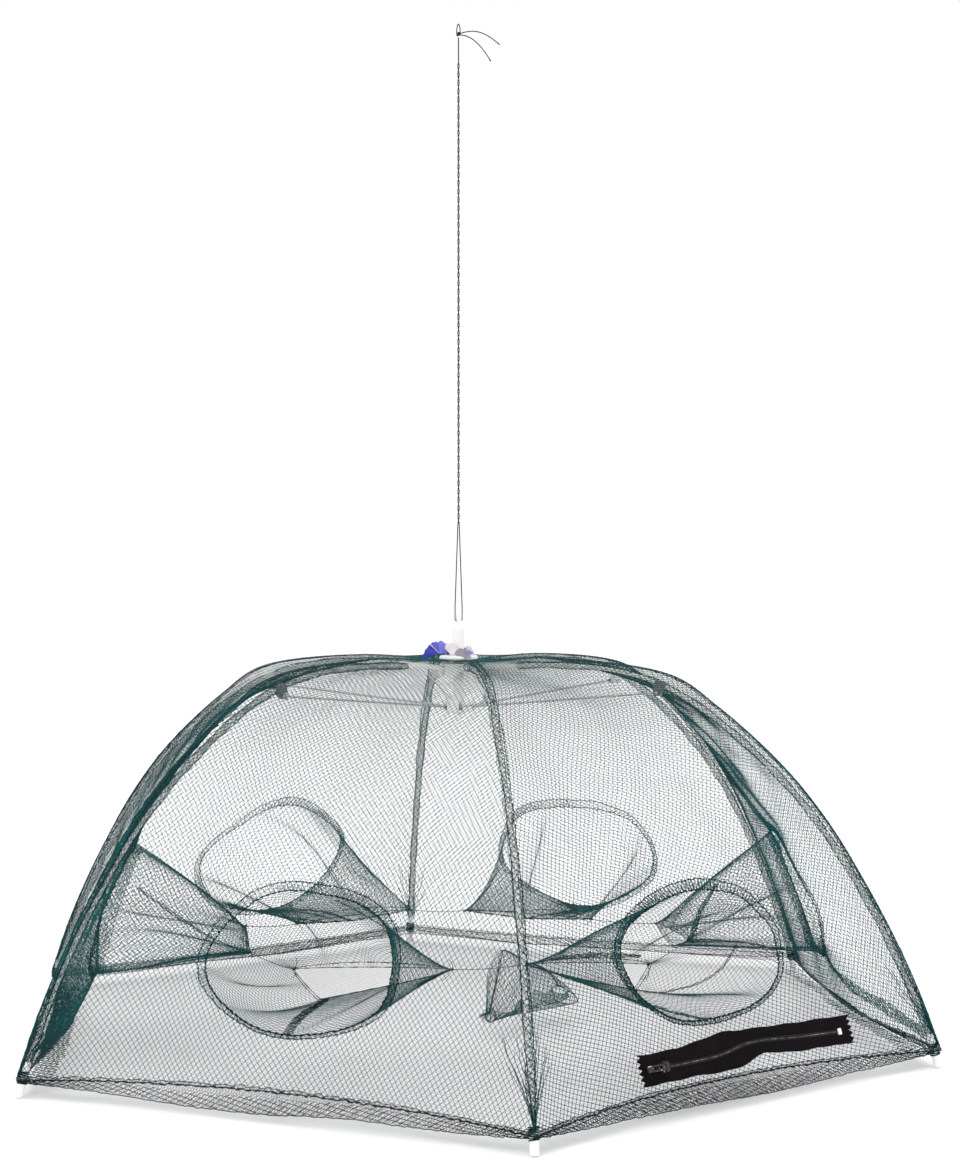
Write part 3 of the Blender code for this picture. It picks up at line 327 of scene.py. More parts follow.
class Strands:
    """Collects threads and turns them into one mesh of thin tubes."""

    def __init__(self):
        self.points = []
        self.faces = []
        self.kinds = []
        self.count = 0

    def links(self, points, normals, links, radius, kind=0, sides=3):
        """Tubes along links between points; each point joins at most two of them."""
        if not len(links):
            return
        step = unit(points[links[:, 1]] - points[links[:, 0]])
        along = np.zeros_like(points)
        np.add.at(along, links[:, 0], step)
        np.add.at(along, links[:, 1], step)
        used = np.unique(links)
        renumber = np.full(len(points), -1)
        renumber[used] = np.arange(len(used))
        along = unit(along[used])
        side = unit(np.cross(along, normals[used]))
        up = np.cross(side, along)
        thick = np.broadcast_to(np.asarray(radius, float), (len(points),))[used][:, None]
        rings = []
        for s in range(sides):
            angle = math.pi / 2 + 2 * math.pi * s / sides
            rings.append(points[used] + thick * (math.cos(angle) * side + math.sin(angle) * up))
        self.points.append(np.stack(rings, axis=1).reshape(-1, 3))
        a = renumber[links[:, 0]] * sides + self.count
        b = renumber[links[:, 1]] * sides + self.count
        for s in range(sides):
            t = (s + 1) % sides
            self.faces.append(np.stack([a + s, b + s, b + t, a + t], axis=1))
            self.kinds.append(np.full(len(a), kind))
        self.count += sides * len(used)

    def knots(self, points, radius, kind=0):
        """A small tetrahedral knot at each point."""
        corners = np.array([[1, 1, 1], [1, -1, -1], [-1, 1, -1], [-1, -1, 1]]) / 3**0.5
        self.points.append((points[:, None, :] + corners * radius).reshape(-1, 3))
        start = self.count + 4 * np.arange(len(points))[:, None]
        for face in ((0, 1, 2), (0, 3, 1), (0, 2, 3), (1, 3, 2)):
            self.faces.append(start + np.array(face))
            self.kinds.append(np.full(len(points), kind))
        self.count += 4 * len(points)

    def path(self, points, radius, kind=0, sides=4, closed=False):
        """One thread along a line of points."""
        points = np.asarray(points, float)
        here = np.arange(len(points))
        links = np.stack([here[:-1], here[1:]], axis=1)
        if closed:
            links = np.vstack([links, [[here[-1], 0]]])
        normals = np.broadcast_to(np.array([0.31, 0.52, 0.795]), points.shape)
        self.links(points, normals, links, radius, kind, sides)

    def build(self, name, materials):
        """The object with all threads so far."""
        mesh = bpy.data.meshes.new(name)
        mesh.from_pydata(np.concatenate(self.points), [], [face for batch in self.faces for face in batch.tolist()])
        for mat in materials:
            mesh.materials.append(mat)
        mesh.polygons.foreach_set("material_index", np.concatenate(self.kinds).astype(np.int32))
        mesh.shade_smooth()
        return linked(name, mesh)


def clipped_lattice(u, v, low, high, inside):
    """Nodes of a flat net of two families of strands, cut off where inside turns negative.

    u and v are the steps along the families. Returns the nodes and each family's links."""
    corners = np.array([[x, y] for x in (low[0], high[0]) for y in (low[1], high[1])])
    counts = corners @ np.linalg.inv(np.array([u, v]))
    p = np.arange(math.floor(counts[:, 0].min()), math.ceil(counts[:, 0].max()) + 1)
    q = np.arange(math.floor(counts[:, 1].min()), math.ceil(counts[:, 1].max()) + 1)
    grid = p[:, None, None] * np.array(u) + q[None, :, None] * np.array(v)
    value = inside(grid.reshape(-1, 2)).reshape(grid.shape[:2])
    index = np.full(value.shape, -1)
    index[value > 0] = np.arange((value > 0).sum())
    nodes = [grid[value > 0]]
    total = len(nodes[0])
    families = []
    for axis in (0, 1):
        first = [slice(None), slice(None)]
        second = [slice(None), slice(None)]
        first[axis] = slice(None, -1)
        second[axis] = slice(1, None)
        first, second = tuple(first), tuple(second)
        a_in, b_in = value[first] > 0, value[second] > 0
        both = a_in & b_in
        links = [np.stack([index[first][both], index[second][both]], axis=1)]
        cut = a_in != b_in
        starts_in = a_in[cut][:, None]
        near = np.where(starts_in, grid[first][cut], grid[second][cut])
        far = np.where(starts_in, grid[second][cut], grid[first][cut])
        low_share, high_share = np.zeros(len(near)), np.ones(len(near))
        for _ in range(9):
            middle = (low_share + high_share) / 2
            is_in = inside(near + (far - near) * middle[:, None]) > 0
            low_share = np.where(is_in, middle, low_share)
            high_share = np.where(is_in, high_share, middle)
        nodes.append(near + (far - near) * low_share[:, None])
        fresh = total + np.arange(len(near))
        total += len(near)
        starts = np.where(starts_in[:, 0], index[first][cut], fresh)
        ends = np.where(starts_in[:, 0], fresh, index[second][cut])
        links.append(np.stack([starts, ends], axis=1))
        families.append(np.concatenate(links))
    return np.concatenate(nodes), families


def surface_normals(place, flat):
    """Unit normals of a surface given as a function of flat points."""
    tiny = 0.0006
    across = place(flat + [tiny, 0.0]) - place(flat - [tiny, 0.0])
    down = place(flat + [0.0, tiny]) - place(flat - [0.0, tiny])
    return unit(np.cross(across, down))


# Where a panel's rim is drawn in: angle from its top towards the right, reach in angle, share of the radius
RIM_DENTS = {
    0: ((0.0, 0.95, 0.21), (-0.85, 0.45, 0.040), (2.3, 0.5, 0.030)),
    2: ((0.0, 0.80, 0.06),),
    3: ((0.9, 0.5, 0.050), (-2.4, 0.5, 0.040)),
    5: ((0.0, 0.85, 0.08), (-1.30, 0.60, 0.085), (-0.75, 0.35, 0.050), (0.75, 0.40, 0.045)),
}


# Walls. Flat positions on a wall are (across its middle, down its slope).
def rim_radius(angle, panel):
    """How far out the hand-sewn rim of an entrance lies, as a share of its plain ellipse."""
    rng = np.random.default_rng(40 + panel)
    total = 1.0
    for turns in (2, 3, 4, 5):
        total = total + rng.uniform(0.008, 0.022) * np.sin(turns * angle + rng.uniform(0, 2 * math.pi))
    for at, wide, dent in RIM_DENTS.get(panel, ()):
        away = np.angle(np.exp(1j * (angle - at)))
        total = total - dent * np.exp(-((away / wide) ** 2))
    return total


def rim_flat(angle, panel, grow=0.0):
    """Flat position of a point on an entrance's rim; grow is metres outside it."""
    angle = np.asarray(angle, float)
    share = rim_radius(angle, panel) + grow / RIM_MEAN
    place = HOLE_MID - HOLE_HALF * np.cos(angle) * share
    return np.stack([HOLE_WIDE * np.sin(angle) * share, np.interp(place, PLACES, ARC)], axis=-1)


# Where a panel hangs further in or out than the others: across, down the slope, reach each way, metres out
PULLS = {
    1: ((0.080, 0.455, 0.070, 0.080, 0.019), (-0.085, 0.465, 0.055, 0.080, -0.014)),
    4: ((0.0, 0.520, 0.130, 0.045, -0.012),),
}


def hem_reach(x):
    """How far down the slope a wall reaches; its hem bows up between two feet."""
    across = np.clip(np.abs(x) / (NET_RIB[-1][0] * HALF_SIN), 0.0, 1.0)
    return WALL_LENGTH - 0.0035 * (1 - across**2)


def wall_points(flat, panel):
    """Points of a wall in its panel's frame, with the slack of the net."""
    x, s = flat[:, 0], flat[:, 1]
    place = np.interp(s, ARC, PLACES)
    rib, mid = on_line(NET_RIB, place), on_line(NET_MID, place)
    across = np.clip(np.abs(x) / (rib[:, 0] * HALF_SIN), 0.0, 1.0)
    share = across**2
    out = mid[:, 0] + (rib[:, 0] * HALF_COS - mid[:, 0]) * share
    up = mid[:, 1] + (rib[:, 1] - mid[:, 1]) * share
    down = on_line(NET_MID, np.minimum(place + 0.05, 9.0)) - on_line(NET_MID, np.maximum(place - 0.05, 0.0))
    down = unit(down)
    ease = (1 - share) * np.clip((s - 0.10) / 0.20, 0, 1) * np.clip((WALL_LENGTH - s) / 0.10, 0, 1)
    slack = 0.0024 * ease * waves(10 + panel, 0.09, 0.26)(x, s)
    slack = slack + 0.0008 * ease * waves(20 + panel, 0.03, 0.07)(x, s)
    for at_x, at_s, wide, tall, reach in PULLS.get(panel, ()):
        slack = slack + reach * (1 - share) * np.exp(-(((x - at_x) / wide) ** 2) - ((s - at_s) / tall) ** 2)
    return np.stack([out - down[:, 1] * slack, x, up + down[:, 0] * slack], axis=-1)


def wall_inside(flat, panel):
    """Positive on the net, negative past a rib, an end or inside the entrance."""
    x, s = flat[:, 0], flat[:, 1]
    place = np.interp(s, ARC, PLACES)
    half = on_line(NET_RIB, place)[:, 0] * HALF_SIN
    wide = x / HOLE_WIDE
    tall = (HOLE_MID - place) / HOLE_HALF
    hole = (np.hypot(wide, tall) - rim_radius(np.arctan2(wide, tall), panel)) * CUT_MEAN
    return np.minimum.reduce([half - 0.0002 - np.abs(x), hole, s - 0.001, hem_reach(x) - s])


# How each panel's diamonds are stretched and turned: width share, height share, turn in degrees, lean
STRETCH = (
    (1.08, 0.80, -14.0, 0.22), (0.95, 1.05, 4.0, 0.0), (1.0, 1.0, -9.0, 0.06),
    (1.0, 1.0, 9.0, 0.05), (0.95, 1.05, -4.0, 0.0), (0.98, 1.0, 3.0, -0.04),
)


def panel_net(panel, settings):
    """The net of one panel: its flat nodes and each family's links."""
    wide, tall, turn, lean = STRETCH[panel]
    u, v = lattice_steps(settings.mesh_width * wide, settings.mesh_height * tall, math.radians(turn), lean)
    drift_x, drift_s = waves(60 + panel, 0.10, 0.30), waves(70 + panel, 0.10, 0.30)

    def settle(flat):
        return flat + 0.0026 * np.stack([drift_x(*flat.T), drift_s(*flat.T)], axis=-1)

    limit = 0.235
    nodes, families = clipped_lattice(
        u, v, (-limit, -0.02), (limit, WALL_LENGTH + 0.02), lambda flat: wall_inside(settle(flat), panel)
    )
    return settle(nodes), families


def to_world(points, panel):
    """From a panel's frame to the row frame."""
    return turned(points, panel_angle(panel))


def wall_line(flat, panel):
    """World points of a line given by flat positions on a wall."""
    return to_world(wall_points(np.asarray(flat, float), panel), panel)


def seam_flat(s, side, offset):
    """Flat positions along a rib's seam on one of its panels; side 1 is at the panel's right edge."""
    place = np.interp(s, ARC, PLACES)
    half = on_line(NET_RIB, place)[:, 0] * HALF_SIN
    narrow = np.clip(half / 0.030, 0.2, 1.0) * np.clip((WALL_LENGTH - s) / 0.06 + 0.12, 0.12, 1.0)
    return np.stack([side * (half - offset * narrow), s], axis=-1)


def beaded(length, radius, seed):
    """Thickness along a seam's thread, swelling where each mesh of the net is caught."""
    rng = np.random.default_rng(seed)
    beat = np.arange(length) + rng.integers(0, 3)
    return radius * (0.62 + 0.75 * (beat % 3 == 0) + rng.uniform(0, 0.25, length))


def rib_seam(strands, rib, settings):
    """The double line of stitches over a rib, with gathered net between the lines."""
    rng = np.random.default_rng(100 + rib)
    wander = waves(110 + rib, 0.05, 0.16)
    dense = rib not in PLAIN_SEAMS
    s = np.arange(0.004, WALL_LENGTH - 0.002, 0.0016)
    width = 0.0040 + 0.0009 * wander(s, 0 * s)
    for n, (panel, side) in enumerate(panels_of(rib)):
        line = shaken(wall_line(seam_flat(s, side, width), panel), rng, 0.00028)
        bold = settings.seam_radius * (1.05, 0.80 if dense else 1.05)[n]
        bold = bold * (0.5 + 0.5 * np.clip((s - 0.05) / 0.12, 0, 1))
        strands.path(line, bold * beaded(len(s), 1.0, rib * 2 + n), SEAM)
    step = np.arange(0.030, WALL_LENGTH - 0.002, 0.0024)
    width = np.interp(step, s, width)
    if dense:
        edge = wall_line(seam_flat(s, -1, 0.0004), rib)
        strands.path(edge, beaded(len(s), settings.seam_radius * 0.75, 50 + rib), SEAM)
    for phase in (0, 1, 2, 3) if dense else (0, 2):
        swing = np.array([-1.0, 0.0, 1.0, 0.0])[(np.arange(len(step)) + phase) % 4]
        points = np.empty((len(step), 3))
        for panel, side in panels_of(rib):
            mine = swing <= 0 if side < 0 else swing > 0
            flat = seam_flat(step[mine], side, np.abs(swing[mine]) * width[mine] + 0.0003)
            points[mine] = wall_line(flat, panel)
        strands.path(points, settings.strand_radius * (1.0 + 0.6 * step / WALL_LENGTH), GATHER, 3)
    for panel, side in panels_of(rib):
        for offset in (0.0010, 0.0024) if dense else ():
            low = np.arange(0.26, WALL_LENGTH - 0.004, 0.0030)
            line = wall_line(seam_flat(low, side, offset + 0.0008 * wander(low, 50 * offset + low)), panel)
            strands.path(shaken(line, rng, 0.00025), settings.strand_radius * 1.35, GATHER, 3)
    foot_bunch(strands, rib, settings)


def foot_bunch(strands, rib, settings):
    """Net drawn tight to the rib's end and bound round it."""
    rng = np.random.default_rng(180 + rib)
    for panel, side in panels_of(rib):
        for n in range(9):
            start = WALL_LENGTH - rng.uniform(0.030, 0.085)
            s = np.linspace(start, WALL_LENGTH - 0.004, 26)
            t = (s - start) / (WALL_LENGTH - start)
            offset = rng.uniform(0.004, 0.024) * (1 - t) ** 0.8 + 0.0008
            line = wall_line(seam_flat(s, side, offset), panel)
            strands.path(shaken(line, rng, 0.0003), settings.strand_radius * 1.3, (SEAM, GATHER)[n % 2], 3)
    top, tip = np.array(ROD_LINE[-1]), np.array(FOOT_TIP)
    lean = unit(top - tip)
    for n, share in enumerate(np.linspace(0.40, 0.72, 8)):
        center = tip + (top - tip) * share
        a = np.linspace(0, 2 * math.pi, 18, endpoint=False)
        radius = 0.0039 + rng.uniform(-0.0001, 0.0002)
        ring = np.stack([
            center[0] - radius * np.cos(a) * lean[1], radius * np.sin(a),
            center[1] + radius * np.cos(a) * lean[0] + 0.0005 * np.sin(a + n),
        ], axis=-1)
        strands.path(from_rib(ring, rib), settings.seam_radius * 1.25, SEAM, 4, closed=True)


def ring_seam(strands, rib, settings):
    """The halves of two entrance rims that lie on one rib's wall."""
    for panel, way in panels_of(rib):
        rng = np.random.default_rng(130 + panel * 2 + way)
        count = 144
        angle = way * np.linspace(0.0, math.pi, count)
        lower = np.clip(-np.cos(angle), 0, 1)
        breadth = 0.0046 + 0.0012 * np.sin(2 * np.abs(angle) + panel) + 0.0042 * np.clip(np.cos(angle), 0, 1) ** 2
        bold = 1.7 if panel in FRONT_PANELS else 1.35
        thread = settings.seam_radius * bold
        for grow, radius in ((0.0, thread * (1 + 0.3 * lower)), (1.0, thread * 0.8)):
            line = wall_line(rim_flat(angle, panel, grow * breadth), panel)
            strands.path(shaken(line, rng, 0.00030), radius * beaded(count, 0.85, 140 + panel), SEAM)
        count = 150
        fine = way * np.linspace(0.0, math.pi, count)
        breadth = np.interp(np.abs(fine), np.abs(angle), breadth)
        for phase in (0, 1):
            swing = zigzag(count, phase) * breadth
            line = wall_line(rim_flat(fine + 0.01 * phase, panel, swing * (0.8 + 0.4 * (phase % 2))), panel)
            strands.path(shaken(line, rng, 0.00020), settings.strand_radius * 1.5 * bold**0.5, GATHER, 3)


# Folds on the walls by rib: panel, line of flat positions, breadth in metres, rows
WALL_FOLDS = {
    1: ((1, ((-0.030, 0.5150), (-0.075, 0.5300), (-0.130, 0.5420), (-0.180, 0.5520), (-0.219, 0.5600)), 0.014, 5),),
    5: ((4, ((0.060, 0.5200), (0.110, 0.5330), (0.165, 0.5480), (0.219, 0.5600)), 0.008, 3),),
}


def wall_folds(strands, rib, settings):
    """Bunched net on a wall, drawn towards a foot."""
    rng = np.random.default_rng(280 + rib)
    for panel, knots, breadth, rows in WALL_FOLDS.get(rib, ()):
        t = np.linspace(0, 1, 90)
        middle = on_line(knots, t * (len(knots) - 1))
        across = unit(np.gradient(middle, axis=0))[:, ::-1] * [-1, 1]
        taper = 0.5 + 0.5 * np.sin(math.pi * np.clip(0.15 + 0.75 * t, 0, 1)) + 0.15 * np.sin(23 * t)
        taper = (taper * np.clip(t / 0.30, 0.05, 1))[:, None]
        band(strands, lambda off: wall_line(middle + off * taper * across, panel), breadth, rows, rng, settings, GATHER)


def hub_gathers(strands, rib, settings):
    """Pleats of net drawn together round the hub."""
    rng = np.random.default_rng(160 + rib)
    for panel, side in panels_of(rib):
        for share in np.linspace(0.10, 0.92, 4):
            length = rng.uniform(0.020, 0.045)
            s = np.arange(0.0006, length, 0.0025)
            place = np.interp(s, ARC, PLACES)
            half = on_line(NET_RIB, place)[:, 0] * HALF_SIN
            x = side * half * (share + 0.05 * np.sin(s * 300 + share * 9))
            points = wall_line(np.stack([x, s], axis=-1), panel)
            points[:, 2] += 0.0006 + 0.0005 * np.sin(s * 700 + share * 20)
            strands.path(points, settings.strand_radius * 1.2, GATHER, 3)


def build_walls(settings, mats):
    """Six net walls, each over one rib from the middle of one panel to the middle of the next."""
    panels = []
    for panel in range(SIDES):
        flat, families = panel_net(panel, settings)
        points = wall_points(flat, panel)
        normals = surface_normals(lambda f: wall_points(f, panel), flat)
        panels.append((flat, families, to_world(points, panel), to_world(normals, panel)))
    for rib in range(SIDES):
        strands = Strands()
        for panel, side in panels_of(rib):
            flat, families, points, normals = panels[panel]
            thick = settings.strand_radius * (1.18 if panel in FRONT_PANELS else 1.0)
            thick = thick * (0.50 + 0.50 * np.clip((flat[:, 1] - 0.06) / 0.14, 0, 1))
            for links in families:
                middle = flat[links].mean(axis=1)[:, 0]
                own = links[(middle * side >= 0) if side > 0 else (middle < 0)]
                strands.links(points, normals, own, thick)
            ties = np.unique(families[0])
            ties = ties[flat[ties, 0] >= 0] if side > 0 else ties[flat[ties, 0] < 0]
            strands.knots(points[ties], thick[ties, None, None] * 2.2, SEAM)
        rib_seam(strands, rib, settings)
        ring_seam(strands, rib, settings)
        hub_gathers(strands, rib, settings)
        wall_folds(strands, rib, settings)
        obj = strands.build(f"wall_net_{rib + 1}", [mats["twine"], mats["seam"], mats["gather"]])
        finish_soft(obj, rib, f"net_wall_{rib + 1}")


def finish_soft(obj, rib, node, body=None):
    """Ride one piece of net on its body, give it a mesh of its own and hide the node it replaces."""
    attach(obj, body or f"rib_arm_{rib + 1}")
    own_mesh(obj)
    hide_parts(node)


# Funnels. Each slit's half width and shift along its panel, how far its lower lip droops, where along it
# from -1 to 1, and its slope
SLITS = (
    (0.0700, 0.0, 0.022, 0.75, -0.118), (0.0690, 0.0, 0.014, 0.0, -0.060), (0.0690, 0.0, 0.004, 0.0, 0.0),
    (0.0690, 0.0, 0.004, 0.0, 0.0), (0.0690, 0.0, 0.014, 0.0, 0.0), (0.0750, -0.0060, 0.026, -0.66, 0.072),
)


def slit_points(angle, panel):
    """Points round a funnel's slit, in its panel's frame; its upper lip is nearly straight."""
    half, shift, droop, lowest, slope = SLITS[panel]
    tip_r, tip_z = TIPS[panel]
    across = np.sin(angle) * (0.75 + 0.25 * np.abs(np.sin(angle)))
    side = np.where(across < lowest, (across + 1) / (lowest + 1), (1 - across) / (1 - lowest))
    lip = np.where(np.cos(angle) > 0, 0.0015 * np.cos(angle), -droop * np.clip(side, 0, 1) ** 0.85)
    return np.stack([tip_r + 0 * angle, shift + half * across, tip_z + lip + slope * half * across], axis=-1)


def slit_ends(panel):
    """The two corners of a funnel's slit, in its panel's frame."""
    return slit_points(np.array([-math.pi / 2, math.pi / 2]), panel)


def funnel_points(angle, share, panel):
    """Points of a funnel in its panel's frame: angle round it, share 0 at the rim and 1 at the slit."""
    rng = np.random.default_rng(200 + panel)
    mouth = wall_points(rim_flat(angle, panel), panel)
    slit = slit_points(angle, panel)
    rest = np.maximum(1 - share, 0.0)[:, None]
    high = np.cos(angle)
    bow = np.where(high > 0, 1.0 - 0.25 * high, 1.0 - (1.1 if panel in FRONT_PANELS else 0.5) * high)
    if panel == 2:
        bow = bow + 1.9 * np.exp(-((np.angle(np.exp(1j * (angle - 1.1))) / 0.75) ** 2))
    points = mouth + (slit - mouth) * np.stack([share, 1 - rest[:, 0], 1 - rest[:, 0] ** bow], axis=-1)
    center_z = MOUTH_Z + (TIPS[panel][1] - MOUTH_Z) * share
    away = np.stack([0 * share, points[:, 1], points[:, 2] - center_z], axis=-1)
    size = np.linalg.norm(away, axis=1)
    folds = np.zeros_like(share)
    for turns in (3, 5, 8):
        folds = folds + rng.uniform(0.4, 1.0) / turns * 2.2 * np.sin(
            turns * angle + rng.uniform(0, 6.28) + rng.uniform(-2, 2) * share
        )
    middle = np.sin(np.clip(share, 0, 1) * math.pi)
    points = points + unit(away) * (size * middle**0.8 * 0.06 * folds)[:, None]
    points[:, 2] = np.maximum(points[:, 2], FLOOR_Z + 0.002)
    return points


def build_funnels(settings, mats):
    """Six entrance funnels of net that narrow to a flat slit."""
    for panel in range(SIDES):
        rows = int((MOUTH_R - TIPS[panel][0] + 0.02) / settings.mesh_height * 2 * 0.93)
        base, share, families = tube_net(settings.funnel_cells * 2, rows)
        bunch = waves(210 + panel, 0.8, 2.5)
        angle = base + 0.16 * np.sin(share * math.pi) * np.sin(4 * base + panel) + 0.05 * np.sin(9 * base + 3 * share)
        share = np.clip(share + 0.012 * np.sin(share * math.pi) * bunch(np.cos(base), np.sin(base)), 0, 1)
        points = funnel_points(angle, share, panel)
        tiny = 0.004
        across = funnel_points(angle + tiny, share, panel) - funnel_points(angle - tiny, share, panel)
        down = funnel_points(angle, share + tiny, panel) - funnel_points(angle, share - tiny, panel)
        normals = unit(np.cross(across, down))
        points, normals = to_world(points, panel), to_world(normals, panel)
        strands = Strands()
        for links in families:
            strands.links(points, normals, links, settings.strand_radius * (1.0 - 0.25 * share))
        strands.knots(points, settings.strand_radius * 1.8)
        count = 72
        ring = np.linspace(0, 2 * math.pi, count, endpoint=False)
        for share in (0.975, 0.999):
            line = to_world(funnel_points(ring, np.full(count, share), panel), panel)
            strands.path(line, beaded(count, settings.seam_radius * 0.8, 250 + panel), SEAM, 4, closed=True)
        throat_ties(strands, panel, settings)
        funnel_folds(strands, panel, settings)
        obj = strands.build(f"funnel_net_{panel + 1}", [mats["twine"], mats["seam"], mats["gather"]])
        finish_soft(obj, panel, f"net_funnel_{panel + 1}")


# Folds along each panel's funnel: a line of angles and shares, its breadth in metres and its rows of strands
FOLDS = {
    0: (
        (((-1.5, 0.99), (-0.6, 0.96), (0.4, 0.95), (0.9, 0.93)), 0.005, 3),
        (((-3.05, 0.0), (-2.75, 0.35), (-2.25, 0.7), (-1.65, 1.0)), 0.011, 4),
        (((-2.6, 0.02), (-1.7, 0.05), (-0.6, 0.03)), 0.010, 4),
        (((1.5, 0.3), (2.0, 0.5), (2.3, 0.9)), 0.002, 1),
    ),
    1: (
        (((-1.5, 1.0), (-0.7, 0.85), (-0.3, 0.6)), 0.009, 5), (((-2.9, 0.2), (-2.2, 0.6), (-1.7, 1.0)), 0.005, 2),
        (((-3.0, 0.04), (-1.6, 0.07), (-0.2, 0.04)), 0.018, 5), (((0.2, 0.03), (1.6, 0.03), (3.0, 0.03)), 0.008, 3),
    ),
    2: ((((2.9, 0.05), (3.4, 0.5), (3.1, 1.0)), 0.007, 3), (((4.2, 0.2), (4.0, 0.6), (3.8, 1.0)), 0.005, 2)),
    3: ((((2.9, 0.05), (3.3, 0.5), (3.1, 1.0)), 0.007, 3), (((2.2, 0.2), (2.3, 0.6), (2.6, 1.0)), 0.005, 2)),
    4: (
        (((1.7, 1.0), (2.3, 0.7), (2.7, 0.3)), 0.007, 3), (((0.9, 0.15), (1.1, 0.5), (1.5, 1.0)), 0.004, 2),
        (((0.2, 0.03), (1.6, 0.05), (3.0, 0.03)), 0.012, 4),
    ),
    5: (
        (((3.15, 0.0), (3.35, 0.35), (3.55, 0.7), (3.82, 1.0)), 0.010, 3),
        (((0.2, 0.12), (0.55, 0.3), (0.95, 0.5), (1.2, 0.7)), 0.0015, 1),
        (((1.9, 0.45), (1.8, 0.7), (1.6, 1.0)), 0.007, 3),
        (((0.6, 0.03), (1.5, 0.07), (2.3, 0.03)), 0.014, 4),
    ),
}


def band(strands, line_at, breadth, rows, rng, settings, lines_kind=SEAM, fill=GATHER):
    """A bunched strip of net: rows of strands and the zigzags between them; line_at gives a row's points."""
    lines = []
    for row in range(rows + 1):
        lines.append(shaken(line_at(breadth * (row / rows - 0.5)), rng, 0.00040))
        edge = row in (0, rows)
        strands.path(lines[-1], settings.strand_radius * (1.35 if edge else 1.1), lines_kind if edge else fill, 3)
    for low, high in zip(lines[:-1], lines[1:]):
        for phase in (0, 1):
            swing = zigzag(len(low), phase)[:, None]
            strands.path(low + (high - low) * swing, settings.strand_radius * 1.2, fill, 3)


def funnel_folds(strands, panel, settings):
    """Bunched meshes where a funnel folds on itself."""
    rng = np.random.default_rng(240 + panel)
    for knots, breadth, rows in FOLDS[panel]:
        t = np.linspace(0, 1, 60)
        middle = on_line(knots, t * (len(knots) - 1))
        step = unit(np.gradient(middle, axis=0) * [0.08, 0.15])
        taper = 0.35 + 0.65 * np.sin(math.pi * np.clip(0.12 + 0.76 * t, 0, 1))

        def line_at(off):
            angle = middle[:, 0] - off * taper * step[:, 1] / 0.08
            share = np.clip(middle[:, 1] + off * taper * step[:, 0] / 0.15, 0, 1)
            return to_world(funnel_points(angle, share, panel), panel)

        band(strands, line_at, breadth, rows, rng, settings, fill=SEAM if rows == 3 else GATHER)


def throat_ties(strands, panel, settings):
    """Threads that hold the slit open, out to half-way to the neighbouring funnels, and their knots."""
    rng = np.random.default_rng(260 + panel)
    here = [to_world(end, panel) for end in slit_ends(panel)]
    for way, start in zip((-1, 1), here):
        other = (panel + way) % SIDES
        far = slit_ends(other)[0 if way > 0 else 1]
        end = (start + to_world(far, other)) / 2
        t = np.linspace(0, 1, 12)[:, None]
        line = start + (end - start) * t
        line[:, 2] -= 0.0015 * (1 - (1 - t[:, 0]) ** 2)
        strands.path(line, settings.seam_radius * 0.75, SEAM)
        a = np.linspace(0, 4 * math.pi, 26)
        wrap = 0.0011 * np.stack([np.cos(a), np.sin(a), 0.12 * (a - 6.28)], axis=-1)
        strands.path(start + wrap, settings.seam_radius, SEAM)
        for rise in (1, -1):
            away = np.array([rng.normal(0, 0.004), rng.normal(0, 0.004), rise * rng.uniform(0.006, 0.013)])
            away = away + (start - end) * 0.16
            s = np.linspace(0, 1, 10)[:, None]
            tail = start + away * s + np.array([0.002, 0.001, 0.0]) * np.sin(3 * s)
            strands.path(tail, settings.seam_radius * 0.7, SEAM)


# Floor
def floor_points(flat, rib):
    """Points of the floor under one rib, in the rib's frame, with soft folds."""
    x, y = flat[:, 0], flat[:, 1]
    folds = waves(300, 0.10, 0.30)
    world = from_rib(np.column_stack([flat, 0 * x]), rib)
    wx, wy = world[:, 0], world[:, 1]
    lift = 0.0012 * folds(wx, wy) + 0.0003 * waves(301, 0.05, 0.12)(wx, wy)
    lift = lift * np.clip(np.hypot(x, y) / 0.03, 0, 1) * np.clip((FLOOR_FOOT - x) / 0.08, 0, 1)
    droop = LIP_DROOP * lip_share(flat)
    return np.stack([x, y, FLOOR_Z + lift - droop], axis=-1)


def hem_place(flat):
    """How far inside the floor's hem a point lies, and how far along the hem from 0 to 1."""
    x, y = flat[:, 0] - FLOOR_CORNER[0], np.abs(flat[:, 1]) - FLOOR_CORNER[1]
    edge = FLOOR_TIP - FLOOR_CORNER
    normal = np.array([edge[1], -edge[0]]) / np.linalg.norm(edge)
    return x * normal[0] + y * normal[1], np.clip(x / edge[0], 0, 1)


def lip_share(flat):
    """How far out on the hanging lip of the floor's hem a point lies, from 0 to 1."""
    inward, along = hem_place(flat)
    return np.clip(1 - inward / LIP_WIDE, 0, 1) * np.cos(along * math.pi / 2)


def floor_inside(flat):
    """Positive on the floor section of a rib: between its panels' middles, inside the hem."""
    side = flat[:, 0] * HALF_SIN - np.abs(flat[:, 1]) * HALF_COS
    inward, along = hem_place(flat)
    return np.minimum(side, inward - HEM_BOW * np.sin(along * math.pi))


